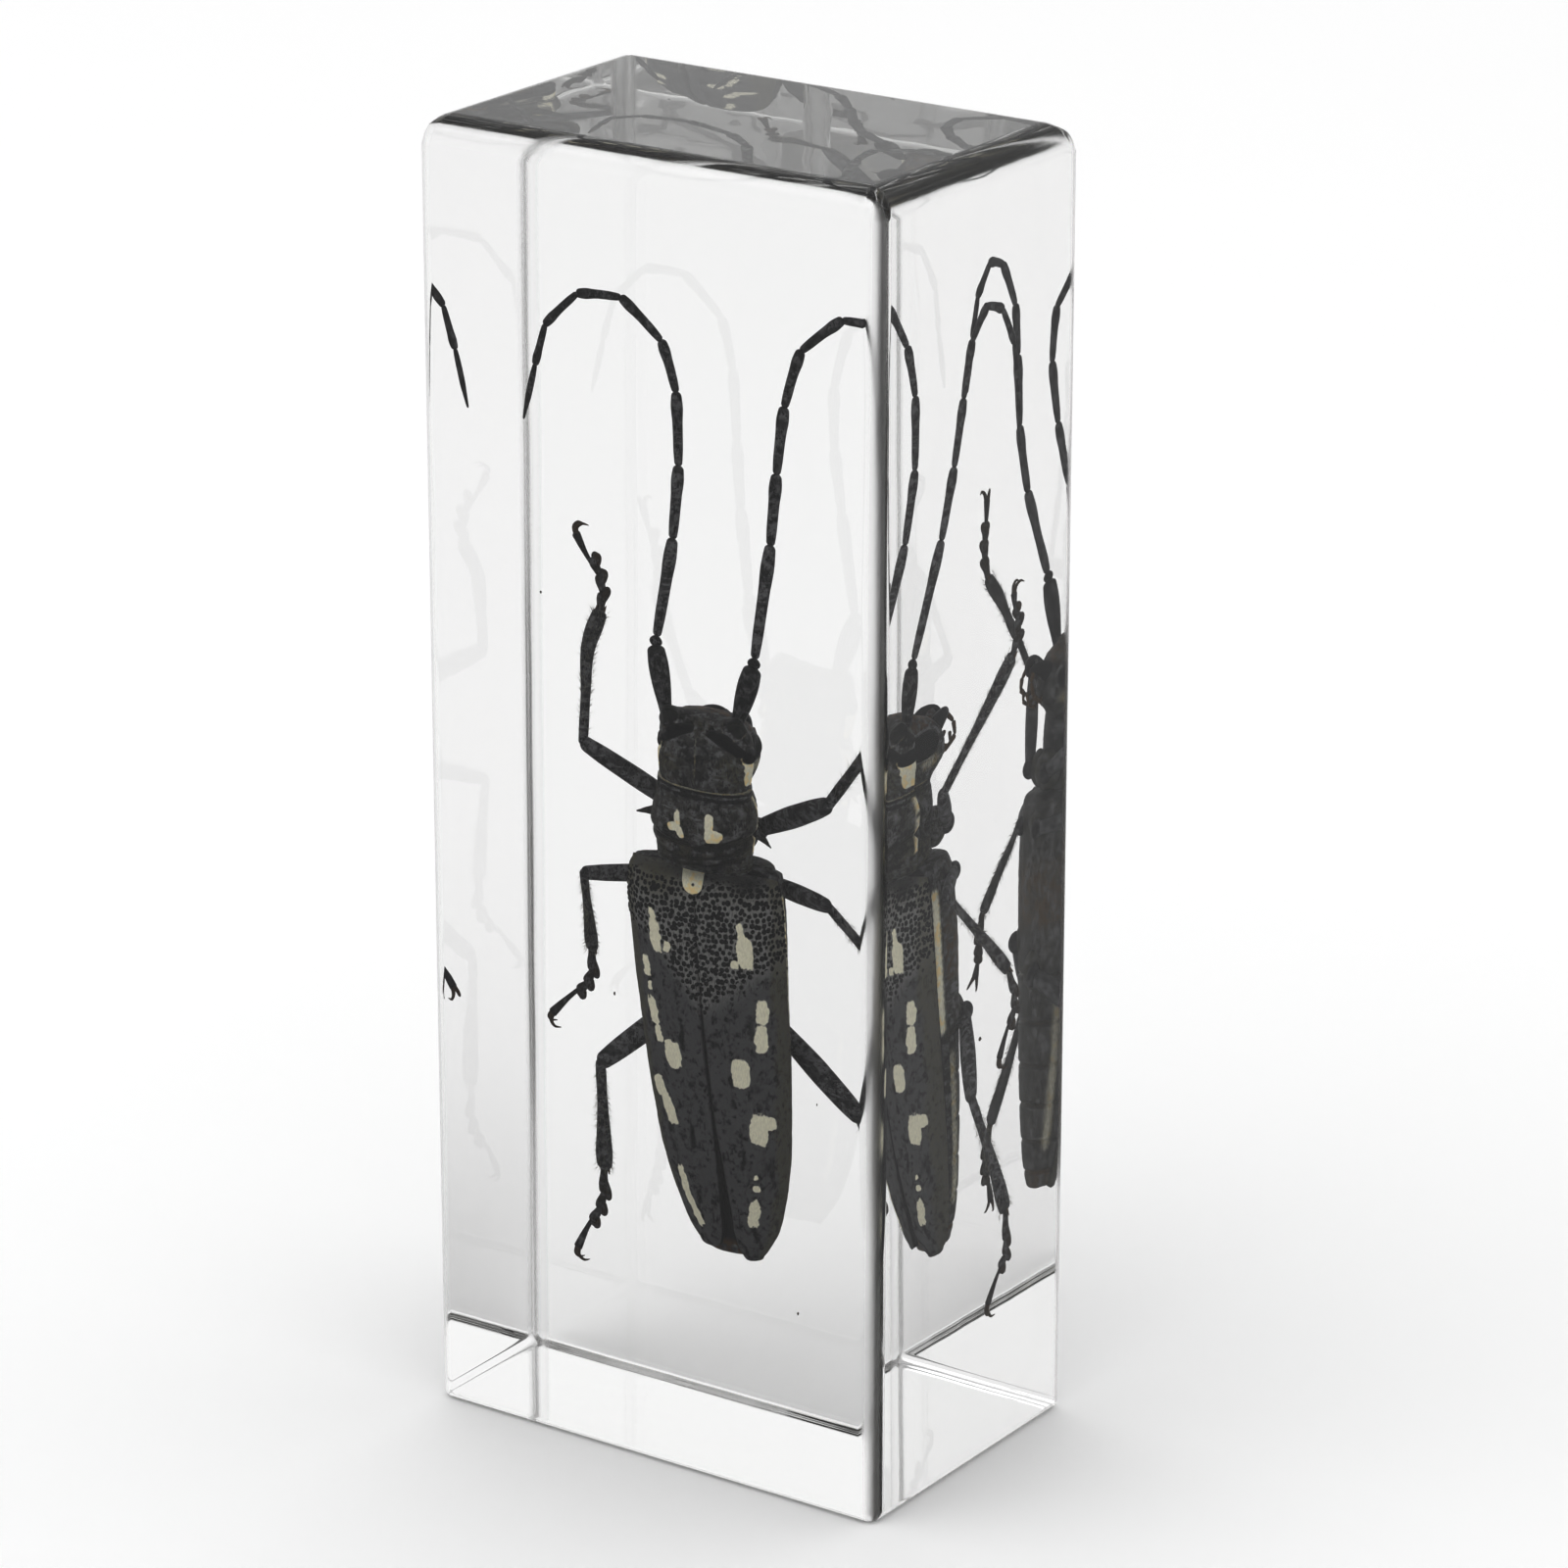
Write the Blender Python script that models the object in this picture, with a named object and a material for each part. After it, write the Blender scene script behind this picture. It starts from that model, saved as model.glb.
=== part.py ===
"""A spotted longhorn beetle cast in a standing block of clear resin.

The block is poured in two layers, resin_front and resin_back. They meet at the depth where the
beetle lies, a hair's breadth apart, and each holds its half of a pocket that follows the beetle.

The frame has +Z up and its origin in the middle of the base. The broad front of the block faces
-Y, and so does the beetle's back; the beetle's head points up. Everything here is in metres.
"""

import math

import bmesh
import bpy
from mathutils import Matrix, Vector

MM = 0.001

# The cast block
BLOCK_WIDTH = 44 * MM
BLOCK_DEPTH = 28 * MM
BLOCK_HEIGHT = 110 * MM
EDGE_RADIUS = 2.4 * MM
EDGE_STEPS = 4
SEAM_Y = 4 * MM
GAP = 0.3 * MM
POCKET_CLEARANCE = 0.45 * MM

# The two stretches of the beetle's body: where each one's axis starts, and how it turns from upright
HIND_BODY = {
    "at": Vector((-0.22, 3.2, 48)) * MM,
    "lean": math.radians(3),
    "pitch": math.radians(5.1),
    "roll": math.radians(5),
}
FORE_BODY = {
    "at": Vector((0.05, 1.4, 49.5)) * MM,
    "lean": math.radians(-1.5),
    "pitch": math.radians(4),
    "roll": math.radians(7),
}
SUTURE_DEPTH = 0.3 * MM
# Share of its depth by which the beetle's underside hangs towards its right
BELLY_SHIFT = 0.3

# Sections of the body, in mm: place along it, half width, height above and depth below the widest line
WING_CASES = (
    (1.8, 6.6, 3.3, 3.3),
    (0.8, 7.4, 4.6, 4.0),
    (-1.5, 7.6, 5.4, 4.3),
    (-5.0, 7.6, 5.9, 4.4),
    (-9.5, 7.4, 6.0, 4.1),
    (-14.5, 7.15, 5.8, 3.7),
    (-20.0, 6.7, 5.2, 3.3),
    (-24.4, 6.1, 4.6, 2.9),
    (-28.0, 5.2, 3.7, 2.6),
    (-31.0, 3.9, 2.7, 2.1),
    (-32.3, 2.9, 1.9, 1.6),
    (-33.0, 1.8, 1.1, 1.0),
)
PRONOTUM = (
    (-0.8, 3.4, 2.6, 3.4),
    (0.4, 4.35, 3.9, 3.8),
    (1.6, 4.3, 3.8, 3.7),
    (2.3, 4.6, 4.1, 3.8),
    (4.4, 4.95, 4.4, 3.9),
    (6.2, 4.6, 4.2, 3.9),
    (7.2, 4.3, 3.9, 3.8),
)
HEAD = (
    (6.4, 3.8, 3.3, 3.6),
    (7.6, 4.1, 3.6, 4.3),
    (8.6, 4.5, 3.7, 5.7),
    (10.2, 4.75, 3.7, 6.0),
    (11.5, 4.5, 3.5, 5.0),
    (12.4, 4.2, 2.9, 3.6),
    (13.1, 3.6, 2.0, 1.6),
)
MOUTH_PARTS = (
    (7.9, 1.3, 0.9, 0.9),
    (8.8, 2.2, 1.5, 1.3),
    (10.4, 2.2, 1.5, 1.3),
    (11.5, 1.3, 0.9, 0.9),
)
MOUTH_DEPTH = 6.1 * MM
BELLY_NARROWING = 0.82
SECTION_POWER = 2.3
BODY_SIDES = 20
POCKET_SIDES = 14
LIMB_SIDES = 8
TOE_SIDES = 6

# Side spines of the pronotum, each from root to tip in the body's own directions: across, height, along
SPINES = {
    "spine_left": ((-3.8, -0.3, 3.9), (-6.7, -0.3, 3.3)),
    "spine_right": ((3.8, -0.3, 3.9), (5.9, -0.3, 2.9)),
}
SPINE_RADII = (1.2, 0.6, 0.15)

# Joints of each leg, in mm in the block's frame, from the hip to the claw
LEGS = {
    "foreleg_left": {
        "hip": (-1.8, 6.1, 52.1),
        "knee": (-11.5, 0.0, 58.0),
        "shin": (-12.5, 4.1, 65.3),
        "ankle": (-12.1, 6.4, 68.2),
        "toes": ((-12.0, 6.9, 69.7), (-12.3, 6.8, 71.2), (-12.8, 6.3, 72.6)),
        "claw": (-14.4, 5.2, 75.0),
        "thickness": 0.92,
    },
    "foreleg_right": {
        "hip": (3.0, 6.9, 52.4),
        "knee": (12.0, 1.0, 57.2),
        "shin": (16.2, 5.3, 64.1),
        "ankle": (18.3, 7.4, 67.7),
        "toes": ((18.4, 8.1, 69.2), (18.3, 8.1, 70.6), (18.2, 7.7, 71.6)),
        "claw": (18.2, 7.3, 73.4),
        "thickness": 0.97,
    },
    "midleg_left": {
        "hip": (-1.8, 7.3, 47.6),
        "knee": (-11.8, 0.6, 46.6),
        "shin": (-12.7, 4.4, 41.5),
        "ankle": (-13.2, 6.4, 38.7),
        "toes": ((-13.3, 6.8, 36.6), (-13.8, 6.5, 35.4), (-14.5, 6.1, 34.6)),
        "claw": (-17.3, 5.1, 32.0),
        "thickness": 0.8,
    },
    "midleg_right": {
        "hip": (3.0, 8.0, 48.0),
        "knee": (11.8, 1.7, 48.5),
        "shin": (15.2, 5.5, 43.7),
        "ankle": (17.6, 7.7, 40.6),
        "toes": ((17.4, 8.7, 38.4), (17.2, 8.9, 36.9), (17.2, 8.1, 35.6)),
        "claw": (17.4, 6.2, 32.8),
        "thickness": 0.85,
    },
    "hindleg_left": {
        "hip": (-2.4, 7.7, 37.6),
        "knee": (-10.4, 1.0, 30.2),
        "shin": (-11.2, 3.8, 23.9),
        "ankle": (-11.9, 5.9, 19.6),
        "toes": ((-12.1, 6.4, 17.1), (-12.5, 6.2, 15.6), (-13.1, 5.7, 14.4)),
        "claw": (-14.4, 4.2, 11.6),
        "thickness": 1.0,
    },
    "hindleg_right": {
        "hip": (4.1, 9.0, 35.6),
        "knee": (14.1, 4.3, 30.4),
        "shin": (16.6, 6.2, 24.1),
        "ankle": (18.5, 7.1, 19.7),
        "toes": ((18.2, 7.4, 17.0), (18.2, 7.4, 15.7), (18.2, 6.5, 14.8)),
        "claw": (18.2, 4.3, 11.8),
        "thickness": 1.1,
    },
}
# Where a coxa starts inside the body, as shares of its hip's place
COXA_ROOT = Vector((0.35, 0.62, 1.0))
COXA_RADII = (1.7, 1.4)

# Joints of each antenna, in mm in the block's frame, from its socket to its tip
ANTENNAE = {
    "antenna_left": (
        (-3.4, 0.9, 60.8),
        (-4.9, 1.6, 67.3),
        (-4.5, 5.2, 75.8),
        (-4.4, 6.5, 81.7),
        (-4.7, 6.7, 87.7),
        (-6.0, 6.3, 91.8),
        (-9.8, 5.9, 94.8),
        (-13.9, 5.3, 94.5),
        (-17.0, 5.2, 91.4),
        (-18.0, 5.3, 87.9),
        (-19.2, 5.3, 83.2),
    ),
    "antenna_right": (
        (3.0, 0.9, 61.3),
        (5.0, 0.6, 67.4),
        (5.1, 4.7, 77.0),
        (5.0, 6.5, 82.6),
        (5.3, 7.6, 88.0),
        (6.8, 7.9, 92.8),
        (10.8, 7.6, 95.9),
        (14.1, 7.9, 95.7),
        (16.9, 7.9, 93.1),
        (17.8, 7.9, 90.1),
        (18.2, 8.0, 84.7),
    ),
}
SCAPE_RADII = (0.75, 0.95)
FIRST_JOINT_RADIUS = 0.62
LAST_JOINT_RADIUS = 0.34
JOINT_SWELLING = 1.25
NECK_LENGTH = 0.5 * MM

RESIN = {"colour": (0.90, 0.91, 0.90, 1.0), "roughness": 0.04, "transmission": 1.0, "ior": 1.6}
SHELL = {"colour": (0.020, 0.020, 0.023, 1.0), "roughness": 0.32, "transmission": 0.0, "ior": 1.5}


def clear_scene():
    for old in list(bpy.data.objects):
        bpy.data.objects.remove(old, do_unlink=True)


def make_material(name, look):
    material = bpy.data.materials.new(name)
    material.use_nodes = True
    shader = material.node_tree.nodes["Principled BSDF"]
    shader.inputs["Base Color"].default_value = look["colour"]
    shader.inputs["Roughness"].default_value = look["roughness"]
    shader.inputs["Metallic"].default_value = 0.0
    shader.inputs["Transmission Weight"].default_value = look["transmission"]
    shader.inputs["IOR"].default_value = look["ior"]
    return material


def loft(name, rings, home):
    """A closed solid through the rings, which have equal counts of points, with flat ends."""
    shape = bmesh.new()
    rows = [[shape.verts.new(point) for point in ring] for ring in rings]
    count = len(rows[0])
    for lower, upper in zip(rows, rows[1:]):
        for i in range(count):
            j = (i + 1) % count
            shape.faces.new((lower[i], lower[j], upper[j], upper[i]))
    shape.faces.new(rows[0])
    shape.faces.new(rows[-1])
    bmesh.ops.recalc_face_normals(shape, faces=shape.faces)
    mesh = bpy.data.meshes.new(name)
    shape.to_mesh(mesh)
    shape.free()
    mesh.shade_smooth()
    solid = bpy.data.objects.new(name, mesh)
    home.objects.link(solid)
    return solid


def body_point(frame, across, height, along):
    """A place given in the directions of one stretch of the body, as a place in the block."""
    across += BELLY_SHIFT * max(-height, 0.0)
    turn = (
        Matrix.Rotation(-frame["lean"], 3, "Y")
        @ Matrix.Rotation(frame["pitch"], 3, "X")
        @ Matrix.Rotation(frame["roll"], 3, "Z")
    )
    return frame["at"] + turn @ Vector((across, -height, along))


def body_section(frame, station, grow, sides, sink=0.0, groove=0.0):
    """One ring across the body: a full oval, tucked in below its widest line."""
    along, half_width, top, bottom = (value * MM for value in station)
    ring = []
    for i in range(sides):
        angle = 2 * math.pi * i / sides
        c, s = math.cos(angle), math.sin(angle)
        across = math.copysign(abs(c) ** (2 / SECTION_POWER), c) * (half_width + grow)
        reach = top if s > 0 else bottom
        height = math.copysign(abs(s) ** (2 / SECTION_POWER), s) * (reach + grow)
        if s < -0.01:
            across *= BELLY_NARROWING
        if 4 * i == sides:
            height -= groove
        ring.append(body_point(frame, across, height - sink, along))
    return ring


def body_loft(name, frame, stations, home, grow, sides, sink=0.0, groove=0.0):
    """A stretch of the body, lengthened by the clearance at both ends when it cuts the pocket."""
    middle = (stations[0][0] + stations[-1][0]) / 2
    half = abs(stations[0][0] - stations[-1][0]) / 2
    stretch = 1 + grow / MM / half
    rings = []
    for along, *sizes in stations:
        stretched = (middle + (along - middle) * stretch, *sizes)
        rings.append(body_section(frame, stretched, grow, sides, sink, groove))
    return loft(name, rings, home)


def tube(name, points, radii, home, grow, sides):
    """A tapered limb segment along the points, longer and thicker by the clearance."""
    path = [Vector(point) for point in points]
    path[0] = path[0] + (path[0] - path[1]).normalized() * grow
    path[-1] = path[-1] + (path[-1] - path[-2]).normalized() * grow
    roundness = 1 / math.cos(math.pi / sides) if grow else 1.0
    side = (path[1] - path[0]).orthogonal().normalized()
    rings = []
    for k, centre in enumerate(path):
        before = path[max(k - 1, 0)]
        after = path[min(k + 1, len(path) - 1)]
        forward = (after - before).normalized()
        side = (side - forward * side.dot(forward)).normalized()
        other = forward.cross(side)
        reach = (radii[k] * MM + grow) * roundness
        angles = (2 * math.pi * i / sides for i in range(sides))
        rings.append([centre + (side * math.cos(a) + other * math.sin(a)) * reach for a in angles])
    return loft(name, rings, home)


def in_mm(place):
    return Vector(place) * MM


def between(start, end, share):
    return start.lerp(end, share)


def make_leg(name, leg, home, grow):
    """Coxa, thigh, shin, lobed foot and claw of one leg, each a closed solid that overlaps the next."""
    thick = leg["thickness"]
    hip, knee, shin, ankle = (in_mm(leg[key]) for key in ("hip", "knee", "shin", "ankle"))
    toes = [in_mm(toe) for toe in leg["toes"]]
    claw = in_mm(leg["claw"])
    coxa_radii = [thick * size for size in COXA_RADII]
    tube(name + "_coxa", (hip * COXA_ROOT, hip), coxa_radii, home, grow, LIMB_SIDES)
    thigh = [between(hip, knee, share) for share in (0.0, 0.3, 0.6, 0.85, 1.03)]
    thigh_radii = [thick * size for size in (0.8, 1.0, 1.02, 0.9, 0.6)]
    tube(name + "_thigh", thigh, thigh_radii, home, grow, LIMB_SIDES)
    lower = [between(knee, shin, -0.04), between(knee, shin, 0.5), shin, ankle]
    lower_radii = [thick * size for size in (0.5, 0.52, 0.62, 0.78)]
    tube(name + "_shin", lower, lower_radii, home, grow, LIMB_SIDES)
    foot = [between(ankle, toes[0], -0.15)]
    foot_radii = [0.42]
    for start, end in zip([ankle, *toes], toes):
        foot += [between(start, end, 0.3), between(start, end, 0.95)]
        foot_radii += [0.42, 0.66]
    tube(name + "_foot", foot, foot_radii, home, grow, TOE_SIDES)
    last = [toes[1], between(toes[1], claw, 0.4), between(toes[1], claw, 0.8), claw]
    tube(name + "_claw", last, (0.26, 0.26, 0.36, 0.2), home, grow, TOE_SIDES)


def make_antenna(name, joints, home, grow):
    """A stout first joint, then a lash of joints that swell at their far ends and grow thinner."""
    joints = [in_mm(joint) for joint in joints]
    tube(name + "_scape", joints[:2], SCAPE_RADII, home, grow, LIMB_SIDES)
    lash = [between(joints[1], joints[2], -0.05)]
    radii = [FIRST_JOINT_RADIUS]
    count = len(joints) - 2
    for k in range(count):
        start, end = joints[k + 1], joints[k + 2]
        size = FIRST_JOINT_RADIUS + (LAST_JOINT_RADIUS - FIRST_JOINT_RADIUS) * k / (count - 1)
        neck = NECK_LENGTH / (end - start).length
        lash += [between(start, end, 2 * neck), between(start, end, 1 - neck)]
        radii += [size, size * (JOINT_SWELLING if k < count - 1 else 0.8)]
    tube(name + "_lash", lash, radii, home, grow, TOE_SIDES)


def make_spines(home, grow):
    """The spine on each side of the pronotum."""
    for name, (root, tip) in SPINES.items():
        path = [between(Vector(root), Vector(tip), share) * MM for share in (0, 0.4, 1)]
        tube(name, [body_point(FORE_BODY, *place) for place in path], SPINE_RADII, home, grow, TOE_SIDES)


def make_beetle_pieces(home, grow):
    """Every stretch of the beetle except the wing cases, as overlapping closed solids."""
    sides = POCKET_SIDES if grow else BODY_SIDES
    body_loft("pronotum", FORE_BODY, PRONOTUM, home, grow, sides)
    body_loft("head", FORE_BODY, HEAD, home, grow, sides)
    body_loft("mouth_parts", FORE_BODY, MOUTH_PARTS, home, grow, POCKET_SIDES, sink=MOUTH_DEPTH)
    make_spines(home, grow)
    for name, leg in LEGS.items():
        make_leg(name, leg, home, grow)
    for name, joints in ANTENNAE.items():
        make_antenna(name, joints, home, grow)


def make_group(name):
    group = bpy.data.collections.new(name)
    bpy.context.scene.collection.children.link(group)
    return group


def mark_as_cutters(group):
    for tool in group.objects:
        tool.hide_render = True
        tool.display_type = "WIRE"


def combine(solid, group, operation):
    step = solid.modifiers.new(operation.title(), "BOOLEAN")
    step.operation = operation
    step.operand_type = "COLLECTION"
    step.collection = group
    step.solver = "EXACT"


def make_beetle(material):
    """The whole beetle as one solid: wing cases over the abdomen, joined to all that grows from them."""
    pieces = make_group("beetle_pieces")
    make_beetle_pieces(pieces, grow=0.0)
    mark_as_cutters(pieces)
    home = bpy.context.scene.collection
    beetle = body_loft("beetle", HIND_BODY, WING_CASES, home, 0.0, BODY_SIDES, groove=SUTURE_DEPTH)
    beetle.data.materials.append(material)
    combine(beetle, pieces, "UNION")
    return beetle


def make_pocket():
    """The beetle's form, fuller by the clearance, which is cut out of both layers of resin."""
    pocket = make_group("pocket")
    make_beetle_pieces(pocket, grow=POCKET_CLEARANCE)
    body_loft("wing_cases", HIND_BODY, WING_CASES, pocket, POCKET_CLEARANCE, POCKET_SIDES)
    mark_as_cutters(pocket)
    return pocket


def make_box(name, low, high, home):
    shape = bmesh.new()
    bmesh.ops.create_cube(shape, size=1.0)
    for vert in shape.verts:
        share = vert.co + Vector((0.5, 0.5, 0.5))
        vert.co = Vector(a + (b - a) * t for a, b, t in zip(low, high, share))
    mesh = bpy.data.meshes.new(name)
    shape.to_mesh(mesh)
    shape.free()
    box = bpy.data.objects.new(name, mesh)
    home.objects.link(box)
    return box


def make_resin_layer(name, beyond_seam, pocket, material):
    """The rounded block, less what lies past the seam and less the pocket."""
    low = (-BLOCK_WIDTH / 2, -BLOCK_DEPTH / 2, 0)
    high = (BLOCK_WIDTH / 2, BLOCK_DEPTH / 2, BLOCK_HEIGHT)
    layer = make_box(name, low, high, bpy.context.scene.collection)
    layer.data.materials.append(material)
    rounding = layer.modifiers.new("Rounding", "BEVEL")
    rounding.width = EDGE_RADIUS
    rounding.segments = EDGE_STEPS
    other_side = make_group(name + "_other_side")
    margin = 10 * MM
    start, end = sorted(beyond_seam)
    make_box(
        name + "_cut",
        (low[0] - margin, start, low[2] - margin),
        (high[0] + margin, end, high[2] + margin),
        other_side,
    )
    mark_as_cutters(other_side)
    combine(layer, other_side, "DIFFERENCE")
    combine(layer, pocket, "DIFFERENCE")
    return layer


def main():
    clear_scene()
    resin = make_material("clear_resin", RESIN)
    shell = make_material("beetle_shell", SHELL)
    make_beetle(shell)
    pocket = make_pocket()
    past_back = BLOCK_DEPTH
    make_resin_layer("resin_front", (SEAM_Y - GAP / 2, past_back), pocket, resin)
    make_resin_layer("resin_back", (SEAM_Y + GAP / 2, -past_back), pocket, resin)


main()
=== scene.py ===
"""The looks of a white-spotted longhorn beetle cast in a standing block of clear resin.

Run as a script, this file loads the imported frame, makes one clear block for the two cast layers and
a detailed beetle for the plain one, and sets the stage. It is laid out as an add-on: each piece has
an operator, and the sizes and colours that a user would change are properties.

Every piece is worked out in millimetres as whole arrays and turned into metres when its mesh is made.
The beetle has two stretches, each with its own directions: across it, height towards its back, and
along it towards the head.
"""

import math
from collections import namedtuple

import bpy
import numpy as np
from bpy.props import FloatProperty, FloatVectorProperty, PointerProperty
from mathutils import Matrix, Vector


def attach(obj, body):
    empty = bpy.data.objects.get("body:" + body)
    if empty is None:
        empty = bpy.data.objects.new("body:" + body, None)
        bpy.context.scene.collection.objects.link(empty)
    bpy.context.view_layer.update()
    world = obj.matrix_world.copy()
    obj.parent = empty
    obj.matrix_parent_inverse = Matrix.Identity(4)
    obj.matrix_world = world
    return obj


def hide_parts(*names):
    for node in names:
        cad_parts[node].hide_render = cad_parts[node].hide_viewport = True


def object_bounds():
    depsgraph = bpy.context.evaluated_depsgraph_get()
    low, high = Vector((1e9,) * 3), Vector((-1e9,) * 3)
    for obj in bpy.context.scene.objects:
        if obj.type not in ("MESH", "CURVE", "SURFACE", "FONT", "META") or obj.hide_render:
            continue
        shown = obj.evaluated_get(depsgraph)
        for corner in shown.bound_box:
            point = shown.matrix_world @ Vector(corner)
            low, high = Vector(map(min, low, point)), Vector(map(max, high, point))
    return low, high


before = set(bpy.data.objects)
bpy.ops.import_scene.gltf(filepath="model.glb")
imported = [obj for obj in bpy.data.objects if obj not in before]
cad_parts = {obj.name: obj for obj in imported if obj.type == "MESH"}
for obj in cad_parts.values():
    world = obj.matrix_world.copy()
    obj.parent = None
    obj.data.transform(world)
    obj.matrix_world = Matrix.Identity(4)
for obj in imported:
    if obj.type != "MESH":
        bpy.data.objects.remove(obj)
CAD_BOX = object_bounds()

bl_info = {
    "name": "Beetle in a Resin Block",
    "version": (1, 0, 0),
    "blender": (4, 5, 0),
    "location": "View3D > Sidebar > Resin Beetle",
    "description": "Makes a longhorn beetle in a block of clear resin around its packed frame",
    "category": "Object",
}

MM = 0.001
BLOCK_LOW, BLOCK_HIGH = (np.array(corner) / MM for corner in CAD_BOX)


# ---------------------------------------------------------------- properties a user would change

def size_property(name, description, default):
    return FloatProperty(name=name, description=description, default=default, unit="LENGTH")


def colour_property(name, description, default):
    return FloatVectorProperty(name=name, description=description, default=default, subtype="COLOR", size=3)


class BlockLook(bpy.types.PropertyGroup):
    """The clear cast block."""

    edge_radius: size_property("Edge radius", "Rounding of the block's polished edges", 2.4 * MM)
    ior: FloatProperty(name="Refraction", description="Index of refraction of the resin", default=1.6)
    tint: colour_property("Tint", "Colour that a long way through the resin takes on", (0.50, 0.50, 0.49))
    density: FloatProperty(name="Absorption", description="How fast the resin takes on its tint", default=5.5)
    edge_haze: FloatProperty(
        name="Edge haze", description="Roughness of the hand-polished rounded edges", default=0.42)
    waviness: FloatProperty(name="Waviness", description="Strength of the polish's faint waves", default=0.02)


class BeetleLook(bpy.types.PropertyGroup):
    """The beetle's colours and the grain of its wing cases."""

    black: colour_property("Black", "Bare chitin", (0.007, 0.007, 0.008))
    grey: colour_property("Grey", "Fine grey hair on the wing cases", (0.072, 0.072, 0.075))
    ash: colour_property("Ash", "Pale hair between the granules", (0.305, 0.305, 0.296))
    olive: colour_property("Olive", "Greenish hair along the sides", (0.110, 0.104, 0.066))
    cream: colour_property("Cream", "The spots", (0.97, 0.94, 0.77))
    brown: colour_property("Brown", "Thin translucent chitin and foot pads", (0.090, 0.052, 0.022))
    granule_pitch: size_property("Granule pitch", "Distance between granules", 0.48 * MM)
    granule_radius: size_property("Granule radius", "Radius of a granule", 0.21 * MM)


class StageLook(bpy.types.PropertyGroup):
    """Floor, light and camera."""

    floor: colour_property("Floor", "The pale floor", (0.92, 0.92, 0.92))
    sky: FloatProperty(name="Surroundings", description="Brightness of the white surroundings", default=1.04)
    key: FloatProperty(name="Key light", description="Power of the soft key light", default=1.2, unit="POWER")
    contrast_gamma: FloatProperty(
        name="Contrast", description="Gamma of the view; below 1 it deepens the blacks", default=0.68)
    azimuth: FloatProperty(
        name="Azimuth", description="Camera's turn to the right", default=math.radians(35), subtype="ANGLE")
    elevation: FloatProperty(
        name="Elevation", description="Camera's rise", default=math.radians(19.627), subtype="ANGLE")
    distance: size_property("Distance", "Camera's distance from the block's middle", 535.1 * MM)


# ---------------------------------------------------------------- the beetle's own directions

def stretch(at, lean, pitch, roll):
    """Where one stretch of the body starts, and how it turns from upright, in degrees."""
    turn = (
        Matrix.Rotation(math.radians(-lean), 3, "Y")
        @ Matrix.Rotation(math.radians(pitch), 3, "X")
        @ Matrix.Rotation(math.radians(roll), 3, "Z")
    )
    return {"at": np.array(at, float), "turn": np.array(turn)}


# Share of its depth by which the beetle's underside hangs towards its right
BELLY_SHIFT = 0.3
HIND = stretch((-0.22, 3.2, 48.0), 3, 5.1, 5)
FORE = stretch((0.05, 1.4, 49.5), -1.5, 4, 7)

# Sections in mm: place along, half width, height above and depth below the widest line
WING_CASES = np.array((
    (1.9, 7.5, 3.4, 3.3),
    (1.2, 7.6, 4.3, 3.9),
    (0.3, 7.65, 4.9, 4.1),
    (-1.5, 7.7, 5.5, 4.3),
    (-5.0, 7.6, 5.9, 4.4),
    (-9.5, 7.4, 6.0, 4.1),
    (-14.5, 7.15, 5.8, 3.7),
    (-20.0, 6.7, 5.2, 3.3),
    (-24.4, 6.1, 4.6, 2.9),
    (-28.0, 5.2, 3.7, 2.6),
    (-31.0, 3.95, 2.75, 2.1),
    (-32.2, 3.1, 2.1, 1.7),
    (-33.2, 2.2, 1.5, 1.2),
))
PRONOTUM = np.array((
    (-0.8, 3.9, 3.4, 3.5),
    (0.4, 4.35, 3.9, 3.8),
    (1.6, 4.4, 3.9, 3.7),
    (2.8, 4.6, 4.1, 3.8),
    (4.4, 4.8, 4.3, 3.9),
    (6.2, 4.55, 4.15, 3.9),
    (7.2, 4.4, 3.9, 3.8),
))
HEAD = np.array((
    (6.4, 3.9, 3.3, 3.6),
    (7.6, 4.15, 3.6, 4.3),
    (8.6, 4.3, 3.7, 5.6),
    (10.2, 4.35, 3.7, 5.8),
    (11.5, 4.3, 3.35, 5.0),
    (12.3, 4.15, 2.7, 3.9),
    (12.9, 3.8, 1.9, 2.2),
))

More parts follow.
